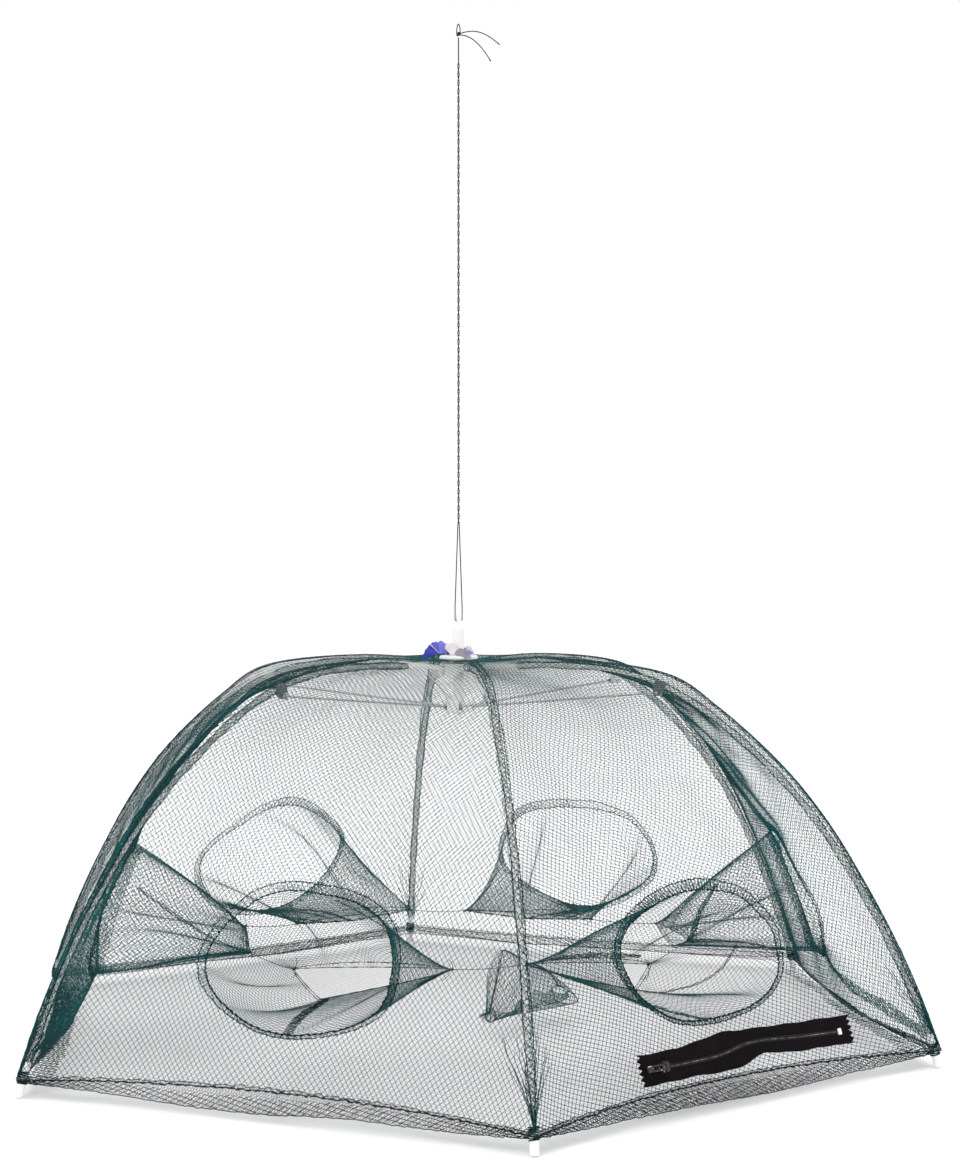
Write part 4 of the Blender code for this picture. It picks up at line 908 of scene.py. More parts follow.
def build_floors(settings, mats):
    """Six floor sections with a stitched hem."""
    drift_x, drift_y = waves(310, 0.12, 0.34), waves(311, 0.12, 0.34)
    for rib in range(SIDES):
        u, v = lattice_steps(settings.mesh_width * 1.60, settings.mesh_height * 1.45, -rib_angle(rib))

        def settle(flat):
            world = from_rib(np.column_stack([flat, 0 * flat[:, :1]]), rib)
            shift = 0.0030 * np.stack([drift_x(*world[:, :2].T), drift_y(*world[:, :2].T), 0 * flat[:, 0]], axis=-1)
            return flat + turned(shift, -rib_angle(rib))[:, :2]

        nodes, families = clipped_lattice(u, v, (-0.02, -0.24), (0.46, 0.24), lambda f: floor_inside(settle(f)))
        flat = settle(nodes)
        points = from_rib(floor_points(flat, rib), rib)
        normals = np.broadcast_to(np.array([0.0, 0.0, 1.0]), points.shape)
        strands = Strands()
        on_lip = lip_share(flat) > 0
        lip_radius = settings.strand_radius * (1.5 if rib in FRONT_RIBS else 1.05)
        for links in families:
            outer = on_lip[links].any(axis=1)
            strands.links(points, normals, links[~outer], settings.strand_radius * 0.42)
            strands.links(points, normals, links[outer], lip_radius, SEAM)
        floor_hem(strands, rib, settings)
        obj = strands.build(f"floor_net_{rib + 1}", [mats["floor_twine"], mats["seam"], mats["gather"]])
        finish_soft(obj, rib, f"net_floor_{rib + 1}", f"floor_fold_{rib + 1}")


def floor_hem(strands, rib, settings):
    """The floor's stitched edge, and the seam that joins it to the wall's lower edge."""
    t = np.linspace(0, 1, 90)
    for way in (-1, 1):
        corner = FLOOR_CORNER * [1, way]
        flat = corner + (FLOOR_TIP - corner) * t[:, None]
        inward = HEM_BOW * np.sin(t * math.pi)
        flat[:, 0] -= inward * 0.6
        edge = from_rib(floor_points(flat, rib), rib)
        rng = np.random.default_rng(330 + rib * 2 + way)
        strands.path(shaken(edge, rng, 0.0003), settings.seam_radius * 0.9, SEAM)
        panel = rib if way > 0 else (rib - 1) % SIDES
        across = -way * NET_RIB[-1][0] * HALF_SIN * t
        hem = np.stack([across, hem_reach(across)], axis=-1)
        wall = wall_line(hem, panel)
        thick = settings.seam_radius * (1.7 if rib in FRONT_RIBS else 1.0)
        strands.path(shaken(wall, rng, 0.0004), beaded(len(t), thick, 340 + rib * 2 + way), SEAM)
        upper = shaken(wall_line(hem - [0.0, 0.0022], panel), rng, 0.0005)
        strands.path(upper, beaded(len(t), thick * 0.5, 350 + rib * 2 + way), SEAM)
        for phase in (0, 1):
            swing = zigzag(len(t), phase)[:, None]
            strands.path(upper + (wall - upper) * swing, settings.strand_radius * 1.2, TWINE, 3)
            for row in range(3):
                lower = shaken(edge + (wall - edge) * row / 3, rng, 0.0003)
                strands.path(lower + (wall - edge) * swing / 3, settings.strand_radius * 1.5, SEAM, 3)


# Solid pieces
def lathe(bm, profile, segments):
    """A body of revolution about Z, added to a bmesh; profile is radius and height."""
    rings = []
    for radius, height in profile:
        if radius < 1e-6:
            rings.append([bm.verts.new((0.0, 0.0, height))])
        else:
            rings.append([
                bm.verts.new((
                    radius * math.cos(2 * math.pi * i / segments), radius * math.sin(2 * math.pi * i / segments), height
                )) for i in range(segments)
            ])
    for low, high in zip(rings[:-1], rings[1:]):
        for i in range(segments):
            j = (i + 1) % segments
            if len(low) == 1:
                bm.faces.new((low[0], high[j], high[i]))
            elif len(high) == 1:
                bm.faces.new((low[i], low[j], high[0]))
            else:
                bm.faces.new((low[i], low[j], high[j], high[i]))


def tube_into(bm, path, radius, sides):
    """A round tube with closed ends along a path, added to a bmesh."""
    path = [Vector(p) for p in path]
    radii = list(radius) if hasattr(radius, "__len__") else [radius] * len(path)
    side = None
    rings = []
    for i, here in enumerate(path):
        along = (path[min(i + 1, len(path) - 1)] - path[max(i - 1, 0)]).normalized()
        if side is None:
            side = along.orthogonal()
        side = (side - along * side.dot(along)).normalized()
        up = along.cross(side)
        rings.append([
            bm.verts.new(here + radii[i] * (math.cos(a) * side + math.sin(a) * up))
            for a in (2 * math.pi * s / sides for s in range(sides))
        ])
    for low, high in zip(rings[:-1], rings[1:]):
        for s in range(sides):
            t = (s + 1) % sides
            bm.faces.new((low[s], low[t], high[t], high[s]))
    bm.faces.new(rings[0][::-1])
    bm.faces.new(rings[-1])


def make_object(name, bm, materials, smooth=True, matrix=None):
    """Link a bmesh as an object."""
    mesh = bpy.data.meshes.new(name)
    bmesh.ops.recalc_face_normals(bm, faces=bm.faces)
    if matrix is not None:
        bm.transform(matrix)
    bm.to_mesh(mesh)
    bm.free()
    for mat in materials:
        mesh.materials.append(mat)
    if smooth:
        mesh.shade_smooth()
    return linked(name, mesh)


def bevel(obj, width):
    """Rounded edges on a piece."""
    step = obj.modifiers.new("rounding", "BEVEL")
    step.width = width
    step.segments = 2
    step.limit_method = "ANGLE"
    step.angle_limit = math.radians(35)
    step.harden_normals = False


# Materials
class Shade:
    """A short way to build one procedural material."""

    def __init__(self, name, roughness=0.5, metallic=0.0, specular=0.5):
        self.mat = bpy.data.materials.new(name)
        self.mat.use_nodes = True
        self.tree = self.mat.node_tree
        self.shader = self.tree.nodes["Principled BSDF"]
        self.shader.inputs["Roughness"].default_value = roughness
        self.shader.inputs["Metallic"].default_value = metallic
        self.shader.inputs["Specular IOR Level"].default_value = specular
        self.coords = self.tree.nodes.new("ShaderNodeTexCoord").outputs["Object"]

    def node(self, kind, **values):
        """A new node with these inputs."""
        made = self.tree.nodes.new(kind)
        for key, value in values.items():
            made.inputs[key.replace("_", " ")].default_value = value
        return made

    def link(self, output, target):
        """Join an output to an input."""
        self.tree.links.new(output, target)

    def noise(self, scale, detail=3.0, roughness=0.55, stretch=None):
        """Noise over the piece's own coordinates."""
        made = self.node("ShaderNodeTexNoise", Scale=scale, Detail=detail, Roughness=roughness)
        if stretch is None:
            self.link(self.coords, made.inputs["Vector"])
        else:
            mapping = self.node("ShaderNodeMapping", Scale=stretch)
            self.link(self.coords, mapping.inputs["Vector"])
            self.link(mapping.outputs["Vector"], made.inputs["Vector"])
        return made.outputs["Fac"]

    def weave(self, scale, distortion, detail):
        """Waves of woven threads over the piece's own coordinates."""
        made = self.node("ShaderNodeTexWave", Scale=scale, Distortion=distortion, Detail=detail)
        self.link(self.coords, made.inputs["Vector"])
        return made.outputs["Fac"]

    def ramp(self, value, stops):
        """A colour ramp; stops are a position and a colour or grey each."""
        made = self.tree.nodes.new("ShaderNodeValToRGB")
        points = made.color_ramp.elements
        while len(points) < len(stops):
            points.new(0.5)
        for point, (position, colour) in zip(points, stops):
            point.position = position
            colour = (colour,) * 3 if isinstance(colour, (int, float)) else colour
            point.color = (*colour, 1.0)
        self.link(value, made.inputs["Fac"])
        return made.outputs["Color"]

    def colour(self, output):
        """Lead a colour to the shader."""
        self.link(output, self.shader.inputs["Base Color"])

    def rough(self, value, low, high):
        """Spread a grey over a range of roughness."""
        made = self.node("ShaderNodeMapRange")
        made.inputs["To Min"].default_value = low
        made.inputs["To Max"].default_value = high
        self.link(value, made.inputs["Value"])
        self.link(made.outputs["Result"], self.shader.inputs["Roughness"])

    def bump(self, height, strength, distance):
        """Small relief from a grey."""
        made = self.node("ShaderNodeBump", Strength=strength, Distance=distance)
        self.link(height, made.inputs["Height"])
        self.link(made.outputs["Normal"], self.shader.inputs["Normal"])


# Looks that need only noise: key, name, roughness, specular, the colour's noise and two stops, the roughness's
# noise and reach, and the bump's noise, strength and distance
PLAIN_LOOKS = (
    ("floor_twine", "floor_twine_look", 0.62, 0.12, (14.0, 4.0),
     ((0.30, (0.22, 0.19, 0.205)), (0.74, (0.34, 0.30, 0.32))), (900.0, 2.0), (0.50, 0.75), None),
    ("seam", "seam_thread_look", 0.65, 0.12, (160.0, 3.0),
     ((0.35, (0.0020, 0.0085, 0.0095)), (0.70, (0.0040, 0.0300, 0.0320))), (700.0, 2.0), (0.52, 0.80), None),
    ("white", "white_plastic_look", 0.34, 0.5, (60.0, 4.0),
     ((0.25, (0.80, 0.80, 0.775)), (0.75, (0.90, 0.90, 0.885))), (220.0, 4.0), (0.28, 0.44),
     (900.0, 3.0, 0.12, 0.0004)),
    ("grey", "grey_plastic_look", 0.45, 0.5, (240.0, 4.0),
     ((0.30, (0.085, 0.092, 0.098)), (0.72, (0.170, 0.178, 0.185))), (300.0, 3.0), (0.36, 0.58),
     (1400.0, 2.0, 0.15, 0.0003)),
    ("pale", "pale_clip_look", 0.45, 0.5, (240.0, 4.0),
     ((0.30, (0.62, 0.63, 0.62)), (0.72, (0.76, 0.77, 0.76))), (300.0, 3.0), (0.36, 0.58), None),
    ("string", "string_look", 0.72, 0.2, (320.0, 3.0),
     ((0.30, (0.010, 0.011, 0.012)), (0.72, (0.036, 0.038, 0.040))), (900.0, 2.0), (0.60, 0.86),
     (2600.0, 2.0, 0.35, 0.0003)),
    ("coil", "zip_coil_look", 0.30, 0.5, (400.0, 2.0),
     ((0.30, (0.003, 0.002, 0.003)), (0.72, (0.010, 0.007, 0.009))), (500.0, 2.0), (0.30, 0.50), None),
    ("glint", "zip_glint_look", 0.25, 0.5, (300.0, 3.0),
     ((0.40, (0.05, 0.045, 0.05)), (0.62, (0.42, 0.40, 0.41))), (500.0, 2.0), (0.16, 0.30), None),
)

# The rosette's cloths, in the order of their numbers in its table: key, darker and lighter colour
CLOTHS = (
    ("blue", (0.018, 0.025, 0.34), (0.030, 0.040, 0.46)),
    ("mid_blue", (0.075, 0.090, 0.54), (0.105, 0.120, 0.66)),
    ("violet", (0.165, 0.180, 0.64), (0.225, 0.240, 0.76)),
    ("pink", (0.72, 0.60, 0.66), (0.86, 0.78, 0.82)),
    ("grey_cloth", (0.26, 0.225, 0.29), (0.37, 0.325, 0.41)),
    ("lilac", (0.30, 0.24, 0.66), (0.42, 0.34, 0.82)),
)


def make_materials(settings):
    """Every material of the trap."""
    mats = {}
    twine = Vector(settings.twine_colour)
    for key, name, level in (("twine", "net_twine_look", 1.05), ("gather", "gathered_twine_look", 1.40)):
        shade = Shade(name, 0.62, specular=0.12)
        shade.colour(shade.ramp(shade.noise(14.0, 4.0), (
            (0.30, tuple(twine * 0.62 * level)), (0.52, tuple(twine * level)),
            (0.74, (twine.x * 1.5 * level, twine.y * 1.9 * level, twine.z * 1.8 * level)),
        )))
        shade.rough(shade.noise(900.0, 2.0), 0.50, 0.75)
        mats[key] = shade.mat

    for key, name, roughness, specular, patch, stops, grain, reach, bump in PLAIN_LOOKS:
        shade = Shade(name, roughness, specular=specular)
        shade.colour(shade.ramp(shade.noise(*patch), stops))
        shade.rough(shade.noise(*grain), *reach)
        if bump:
            shade.bump(shade.noise(*bump[:2]), *bump[2:])
        if key == "white":
            shade.shader.inputs["Subsurface Weight"].default_value = 0.08
            shade.shader.inputs["Subsurface Radius"].default_value = (0.004, 0.004, 0.004)
        mats[key] = shade.mat

    shade = Shade("white_rod_look", 0.38)
    grain = shade.noise(500.0, 3.0, 0.6, (1.0, 1.0, 0.35))
    shade.colour(shade.ramp(grain, ((0.30, (0.78, 0.78, 0.75)), (0.72, (0.90, 0.90, 0.88)))))
    shade.rough(grain, 0.30, 0.50)
    shade.bump(grain, 0.10, 0.0003)
    # A faint white emission: painted light that keeps the rod near white where the net shades it
    shade.shader.inputs["Emission Color"].default_value = (1.0, 1.0, 0.99, 1.0)
    shade.shader.inputs["Emission Strength"].default_value = 0.10
    mats["rod"] = shade.mat

    shade = Shade("steel_wire_look", 0.30, 1.0)
    drawn = shade.noise(420.0, 3.0, 0.6, (1.0, 1.0, 0.2))
    shade.colour(shade.ramp(drawn, ((0.30, (0.36, 0.37, 0.37)), (0.70, (0.58, 0.59, 0.60)))))
    shade.rough(drawn, 0.24, 0.42)
    shade.bump(drawn, 0.08, 0.0002)
    mats["steel"] = shade.mat

    shade = Shade("zip_tape_look", 0.80, specular=0.08)
    cloud = shade.noise(70.0, 4.0)
    shade.colour(shade.ramp(cloud, ((0.28, (0.0016, 0.0010, 0.0014)), (0.76, (0.0070, 0.0042, 0.0060)))))
    shade.rough(cloud, 0.70, 0.92)
    shade.bump(shade.weave(260.0, 1.2, 2.0), 0.45, 0.0004)
    mats["tape"] = shade.mat

    shade = Shade("black_metal_look", 0.28, specular=0.35)
    # The noise's rare pale specks are painted highlights on the black slider and pull tab
    painted_highlight_specks = shade.noise(420.0, 5.0)
    shade.colour(shade.ramp(painted_highlight_specks, (
        (0.50, (0.006, 0.005, 0.006)), (0.60, (0.030, 0.028, 0.030)), (0.66, (0.60, 0.58, 0.57)),
    )))
    shade.rough(painted_highlight_specks, 0.16, 0.36)
    mats["dark"] = shade.mat

    for key, low, high in CLOTHS:
        shade = Shade(f"cloth_{key}_look", 0.60)
        shade.colour(shade.ramp(shade.noise(150.0, 4.0), ((0.30, low), (0.72, high))))
        shade.rough(shade.noise(300.0, 2.0), 0.45, 0.75)
        shade.bump(shade.weave(900.0, 0.6, 1.0), 0.25, 0.0002)
        shade.shader.inputs["Sheen Weight"].default_value = 0.3
        mats[key] = shade.mat
    return mats


def repaint(node, mat):
    """Give a CAD node its finished material."""
    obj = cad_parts[node]
    for place in obj.material_slots:
        place.material = mat


# Pull string
def cord_line(side):
    """Points of one strand of the pull string, from the post's eye up to the knot."""
    points = [
        (side * 0.0008, 0.0, EYE_Z - 0.0012), (side * 0.0022, 0.0, EYE_Z - 0.0012),
        (side * 0.0033, 0.0, EYE_Z + 0.0004), (side * CORD_APART, 0.0, EYE_Z + 0.004),
    ]
    low = EYE_Z + 0.012
    for i in range(9):
        share = i / 9
        apart = CORD_APART + (CORD_LAY - CORD_APART) * share
        points.append((side * apart, 0.0, low + (TWIST_LOW - low) * share))
    for height in np.linspace(TWIST_LOW, TWIST_TOP, 280):
        turn = 2 * math.pi * (height - TWIST_LOW) / CORD_PITCH
        points.append((side * CORD_LAY * math.cos(turn), side * CORD_LAY * math.sin(turn), height))
    last = points[-1]
    for share in (0.35, 0.7, 1.0):
        height = TWIST_TOP + (CORD_TOP - KNOT_R - 0.0003 - TWIST_TOP) * share
        bulge = 1 + 0.6 * math.sin(math.pi * share)
        points.append((last[0] * bulge, last[1] * bulge, height))
    return points


def smooth_path(points, spacing):
    """A denser line through the points."""
    points = np.asarray(points, float)
    place = np.linspace(0, len(points) - 1, len(points) * 24)
    dense = on_line(points, place)
    length = np.concatenate([[0.0], np.cumsum(np.linalg.norm(np.diff(dense, axis=0), axis=1))])
    steps = max(int(length[-1] / spacing), 2)
    wanted = np.linspace(0, length[-1], steps + 1)
    return np.stack([np.interp(wanted, length, dense[:, a]) for a in range(3)], axis=-1), length[-1]


def twisted(strands, line, radius, pitch, plies=2):
    """Plies of twisted yarn along a dense line; radius is the whole string's."""
    along = unit(np.gradient(line, axis=0))
    side = unit(np.cross(along, np.broadcast_to([0.9, 0.1, 0.42], line.shape)))
    up = np.cross(along, side)
    length = np.concatenate([[0.0], np.cumsum(np.linalg.norm(np.diff(line, axis=0), axis=1))])
    radius = np.broadcast_to(radius, length.shape)
    ply = radius * 0.54
    for n in range(plies):
        turn = 2 * math.pi * (length / pitch + n / plies)
        swing = np.cos(turn)[:, None] * side + np.sin(turn)[:, None] * up
        strands.path(line + (radius - ply)[:, None] * swing, ply, 0, 5)


# The knot's two tails, each as its end, its rise half-way and its shift to the back, and the turns of string
# round the knot, each as its tilt, its lift and its start
TAILS = (((0.038, -0.004, -0.010), 0.004, 0.0007), ((0.031, 0.005, -0.022), 0.001, -0.0009))
WRAPS = ((0.5, -0.0006, 0.0), (-0.6, 0.0005, 1.9), (0.1, 0.0, 3.6))


def build_string(mats):
    """The doubled pull string, built as two cords, with its knot and tails."""
    strands = Strands()
    for end, rise, back in TAILS:
        s = np.linspace(0, 1, 60)
        line = np.stack([
            0.0008 + (end[0] - 0.0008) * s, back + (end[1] - back) * s,
            CORD_TOP + back + end[2] * s * s + rise * np.sin(math.pi * s),
        ], axis=-1)
        twisted(strands, line, YARN_R * (1.0 + 0.35 * np.clip((s - 0.93) / 0.07, 0, 1)), YARN_PITCH)
    a = np.linspace(0, math.pi, 40)
    loop = np.stack([0.0017 * np.cos(a), 0.0002 + 0 * a, CORD_TOP + 0.0005 + 0.0090 * np.sin(a)], axis=-1)
    twisted(strands, loop, YARN_R, YARN_PITCH)
    for tilt, lift, phase in WRAPS:
        a = np.linspace(0, 2 * math.pi, 48)
        wrap = np.stack([
            WRAP_R * np.cos(a + phase), WRAP_R * np.sin(a + phase), CORD_TOP + lift + tilt * WRAP_R * np.cos(a)
        ], axis=-1)
        twisted(strands, wrap, 0.00078, 0.0040)
    knot = strands.build("string_knot", [mats["string"]])
    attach(knot, "post")
    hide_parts("pull_cord_knot")
    for side, name in ((-1, "left"), (1, "right")):
        line, length = smooth_path(cord_line(side), 0.0007)
        strands = Strands()
        twisted(strands, line, YARN_R, 0.0044)
        obj = strands.build(f"pull_string_{name}", [mats["string"]])
        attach(obj, "post")
        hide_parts(f"pull_cord_{name}")


# Hub, ribs and stretchers
# Pleated fans of the rosette, seen from the camera's side: turn round the post in degrees, apex to the
# right, towards the viewer and up in millimetres, colour, and the outline as angle in degrees and radius
ROSETTE = (
    (0, -17.4, 5.0, 347.0, 0, ((193, 16.6), (183, 16.4), (172, 14.6), (160, 14.6), (150, 13.4), (140, 13.8))),
    (0, -17.4, 4.4, 347.0, 1, ((140, 13.8), (131, 13.2), (121, 13.9), (114, 12.9), (107, 13.1), (99, 11.4))),
    (0, -17.4, 4.8, 347.0, 2, ((99, 11.4), (92, 13.0), (86, 13.5), (72, 12.5), (56, 10.6), (36, 8.2), (18, 6.0))),
    # A thin pink sliver between the blue fans: a painted highlight along their edge
    (0, -17.4, 5.6, 347.0, 3, ((134, 13.5), (131, 13.6))),
    (0, -5.6, 10.0, 345.0, 3, ((132, 11.0), (118, 13.2), (102, 13.4), (88, 12.8), (76, 13.0), (60, 10.4), (40, 8.0))),
    (0, 3.6, 17.5, 341.6, 4, (
        (138, 9.6), (120, 11.4), (104, 12.6), (84, 11.6), (62, 11.0), (38, 9.4), (4, 8.2), (-24, 6.4),
    )),
    (0, 3.8, 12.0, 350.0, 5, ((24, 5.0), (14, 8.0), (6, 7.6), (0, 10.4), (-8, 9.6), (-18, 6.0))),
    (105, 2.0, 11.0, 347.0, 3, ((186, 9.0), (160, 9.8), (140, 8.6), (118, 9.6), (96, 8.0), (74, 9.0), (50, 8.0))),
    (150, 6.0, 14.0, 346.0, 4, ((176, 9.0), (150, 10.2), (126, 8.6), (100, 9.8), (74, 8.6), (44, 10.0), (10, 9.0))),
    (205, -2.0, 14.0, 346.0, 0, ((184, 10.6), (158, 11.0), (130, 9.4), (104, 11.0), (80, 9.2), (52, 10.6), (16, 9.0))),
    (262, 2.0, 12.0, 346.0, 1, ((170, 9.0), (140, 11.6), (112, 10.6), (84, 12.4), (54, 10.8), (22, 11.0))),
)


def rosette_fan(bm, yaw, turn, right, toward, up, kind, outline):
    """One stiffly pleated piece of cloth, spread like a fan from its apex."""
    rings, parts = 7, 4
    angles = np.radians([row[0] for row in outline])
    reach = np.array([row[1] for row in outline]) / 1000
    grid = []
    spin = yaw + math.radians(turn)
    for i in range((len(outline) - 1) * parts + 1):
        place = i / parts
        angle = float(np.interp(place, range(len(outline)), angles))
        radius = float(np.interp(place, range(len(outline)), reach))
        fold = math.sin(math.pi * place / (len(outline) - 1))
        row = []
        for j in range(rings + 1):
            out = 0.06 + 0.94 * j / rings
            x = right / 1000 + radius * out * math.cos(angle)
            near = toward / 1000 + 0.0024 * fold * out - 0.0050 * out * math.sin(angle) + 0.0020 * out * out
            z = up / 1000 + radius * out * math.sin(angle) - 0.0008 * out * out
            row.append(bm.verts.new((
                x * math.cos(spin) + near * math.sin(spin), x * math.sin(spin) - near * math.cos(spin), z
            )))
        grid.append(row)
    for low, high in zip(grid[:-1], grid[1:]):
        for j in range(rings):
            face = bm.faces.new((low[j], low[j + 1], high[j + 1], high[j]))
            face.material_index = kind


def build_hub(settings, mats):
    """Repaint the hub's plastic and wire, and sew the cloth rosette."""
    for node in ("hub_crown", "hub_cap", "pull_post", "runner"):
        repaint(node, mats["white"])
        bevel(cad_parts[node], 0.0004)
    for node in ("hub_hinge_ring", "runner_hinge_ring"):
        repaint(node, mats["steel"])
    bm = bmesh.new()
    for fan in ROSETTE:
        rosette_fan(bm, settings.view_yaw, *fan)
    mesh = bpy.data.meshes.new("rosette")
    bm.to_mesh(mesh)
    bm.free()
    for key, *_ in CLOTHS:
        mesh.materials.append(mats[key])
    rosette = linked("rosette", mesh)
    thicken(rosette, 0.0004, 0.0)
    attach(rosette, "hub")
    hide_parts("cloth_rosette")


CLIP_AT = on_line(ROD_LINE, [3.84, 4.16])
CLIP_MIDDLE = CLIP_AT.mean(axis=0)
CLIP_ALONG = unit(CLIP_AT[1] - CLIP_AT[0])
CLIP_UP = np.array([-CLIP_ALONG[1], CLIP_ALONG[0]])


def on_clip(a, y, b):
    """A point of a clip in its rib's frame: along the rod, to the side and up from it."""
    x, z = CLIP_MIDDLE + a * CLIP_ALONG + b * CLIP_UP
    return Vector((x, y, z))


def rib_rod(rod):
    """A rod with its eye on the hub's ring, in its rib's frame."""
    bm = bmesh.new()
    start = Vector((rod[0][0], 0.0, rod[0][1]))
    toward = (Vector((rod[2][0], 0.0, rod[2][1])) - start).normalized()
    path = [start + toward * 0.0017] + [Vector((x, 0.0, z)) for x, z in rod[1:]]
    tube_into(bm, path, ROD_R, 14)
    ring_eye(bm, start, *ROD_EYE)
    return bm


def foot_cap(rod):
    """A foot tube over the rod's end, worn flat on the ground."""
    bm = bmesh.new()
    tip = Vector((FOOT_TIP[0], 0.0, FOOT_TIP[1]))
    down = (tip - Vector((rod[-1][0], 0.0, rod[-1][1]))).normalized()
    lathe(bm, FOOT_PROFILE, 24)
    lie = down.to_track_quat("Z", "Y").to_matrix().to_4x4()
    bm.transform(Matrix.Translation(tip - down * FOOT_LENGTH) @ lie)
    for vert in bm.verts:
        vert.co.z = max(vert.co.z, 0.0)
    return bm


def clip_shell():
    """A clip: its outline seen from the side, given its thickness."""
    bm = bmesh.new()
    half = CLIP_LENGTH / 2
    outline = [
        (-half, -0.0030), (-half, 0.0022), (-half + 0.0008, 0.0028), (half - 0.0008, 0.0028), (half, 0.0022),
        (half, -0.0030), (0.0036, -0.0078),
    ]
    outline += [
        (0.0030 * math.cos(a), -PIVOT_DROP + 0.0026 * math.sin(a)) for a in np.linspace(-0.4, 0.4 - math.pi, 9)
    ]
    outline += [(-0.0036, -0.0078)]
    loops = [[bm.verts.new(on_clip(a, y, b)) for a, b in outline] for y in (-CLIP_SIDE, CLIP_SIDE)]
    bm.faces.new(loops[0])
    bm.faces.new(loops[1][::-1])
    for i in range(len(outline)):
        j = (i + 1) % len(outline)
        bm.faces.new((loops[0][i], loops[1][i], loops[1][j], loops[0][j]))
    return bm


def clip_rivet(pivot):
    """The two ends of a clip's rivet."""
    bm = bmesh.new()
    for y0, y1 in ((-0.0043, -CLIP_SIDE), (CLIP_SIDE, 0.0072)):
        path = [pivot + Vector((0, y, 0)) for y in (y0, y0 + 0.0002, y1 - 0.0002, y1)]
        tube_into(bm, path, [0.0012, 0.0015, 0.0015, 0.0011], 16)
    return bm


def stretcher_wire(pivot):
    """A stretcher: its eye on the runner's ring, its wire, and the loop beside the clip."""
    bm = bmesh.new()
    root = Vector((RUNNER_HINGE[0], 0.0, RUNNER_HINGE[1]))
    reach = Vector((pivot.x, WIRE_Y, pivot.z)) - root
    flat = Vector((reach.x, 0.0, reach.z)).normalized()
    lift = Vector((0.0, WIRE_Y, 0.0))
    wire = [root + flat * s for s in (0.0017, 0.004, 0.008)]
    last = root + reach - flat * 0.020 - lift * 0.02
    wire += [root + flat * 0.008 + (last - root - flat * 0.008) * t for t in (0.25, 0.5, 0.75, 1.0)]
    wire += [root + reach - flat * 0.0026]
    line, _ = smooth_path(wire, 0.004)
    tube_into(bm, line, WIRE_R, 10)
    ring_eye(bm, root, *WIRE_EYE)
    loop = [
        root + reach + 0.0024 * (math.cos(a) * flat + math.sin(a) * Vector((-flat.z, 0.0, flat.x)))
        for a in np.linspace(math.pi, -math.pi + 0.25, 26)
    ]
    tube_into(bm, loop, 0.0009, 8)
    return bm


def build_ribs(settings, mats):
    """Rods, net sleeves, feet, clips, rivets and stretcher wires, six of each."""
    rod = on_line(ROD_LINE, np.concatenate([[0.0, 0.12, 0.3], np.arange(0.6, 11.01, 0.2)]))
    pivot = on_clip(0.0, 0.0, -PIVOT_DROP)
    for rib in range(SIDES):
        number = rib + 1
        arm = f"rib_arm_{number}"
        turn = Matrix.Rotation(rib_angle(rib), 4, "Z")
        obj = make_object(f"rib_rod_{number}", rib_rod(rod), [mats["rod"]], matrix=turn)
        ride_for(obj, arm, f"rib_{number}")
        rod_sleeve(rod[6:], rib, settings, mats)
        obj = make_object(f"foot_cap_{number}", foot_cap(rod), [mats["white"]], matrix=turn)
        ride_for(obj, arm, f"foot_tube_{number}")
        look = mats["grey" if rib in DARK_CLIPS else "pale"]
        obj = make_object(f"clip_{number}", clip_shell(), [look], smooth=False, matrix=turn)
        bevel(obj, 0.0006)
        ride_for(obj, arm, f"rib_clip_{number}")
        obj = make_object(f"clip_rivet_{number}", clip_rivet(pivot), [mats["steel"]], matrix=turn)
        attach(obj, f"rib_arm_{rib + 1}")
        obj = make_object(f"stretcher_wire_{number}", stretcher_wire(pivot), [mats["steel"]], matrix=turn)
        ride_for(obj, f"stretcher_arm_{number}", f"stretcher_{number}")


# Strands each way round each rib's sleeve
SLEEVE_STRANDS = (3, 6, 6, 5, 6, 9)


def rod_sleeve(rod, rib, settings, mats):
    """The narrow tunnel of net that the rod runs through."""
    line, length = smooth_path([(x, 0.0, z) for x, z in rod], 0.0028)
    along = unit(np.gradient(line, axis=0))
    side = np.broadcast_to([0.0, 1.0, 0.0], line.shape)
    up = np.cross(along, side)
    s = np.linspace(0, length, len(line))
    clear = 0.0032 + 0.0005 * np.sin(s * 140 + rib) + 0.0010 * np.clip(1 - (length - s) / 0.05, 0, 1)
    strands = Strands()
    count = SLEEVE_STRANDS[rib]
    for way in (1, -1):
        for n in range(count):
            turn = way * s / 0.0052 + 2 * math.pi * n / count + 0.3 * np.sin(s * 60 + n)
            around = np.cos(turn)[:, None] * side + np.sin(turn)[:, None] * up
            strands.path(from_rib(line + clear[:, None] * around, rib), settings.strand_radius * 1.2, n % 2, 3)
    obj = strands.build(f"rod_sleeve_{rib + 1}", [mats["gather"], mats["seam"]])
    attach(obj, f"rib_arm_{rib + 1}")


def ring_eye(bm, center, outer, inner, width):
    """A flat eye on a hinge ring, its hole along Y."""
    section = [
        (inner, -width / 2), (outer - 0.0003, -width / 2), (outer, -width / 2 + 0.0003),
        (outer, width / 2 - 0.0003), (outer - 0.0003, width / 2), (inner, width / 2),
    ]
    count = 24
    rings = []
    for i in range(count):
        a = 2 * math.pi * i / count
        rings.append([
            bm.verts.new(center + Vector((r * math.cos(a), y, r * math.sin(a)))) for r, y in section
        ])
    for i in range(count):
        here, there = rings[i], rings[(i + 1) % count]
        for n in range(len(section)):
            m = (n + 1) % len(section)
            bm.faces.new((here[n], here[m], there[m], there[n]))


def ride_for(obj, body, node):
    """Ride and replace in one call."""
    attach(obj, body)
    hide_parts(node)


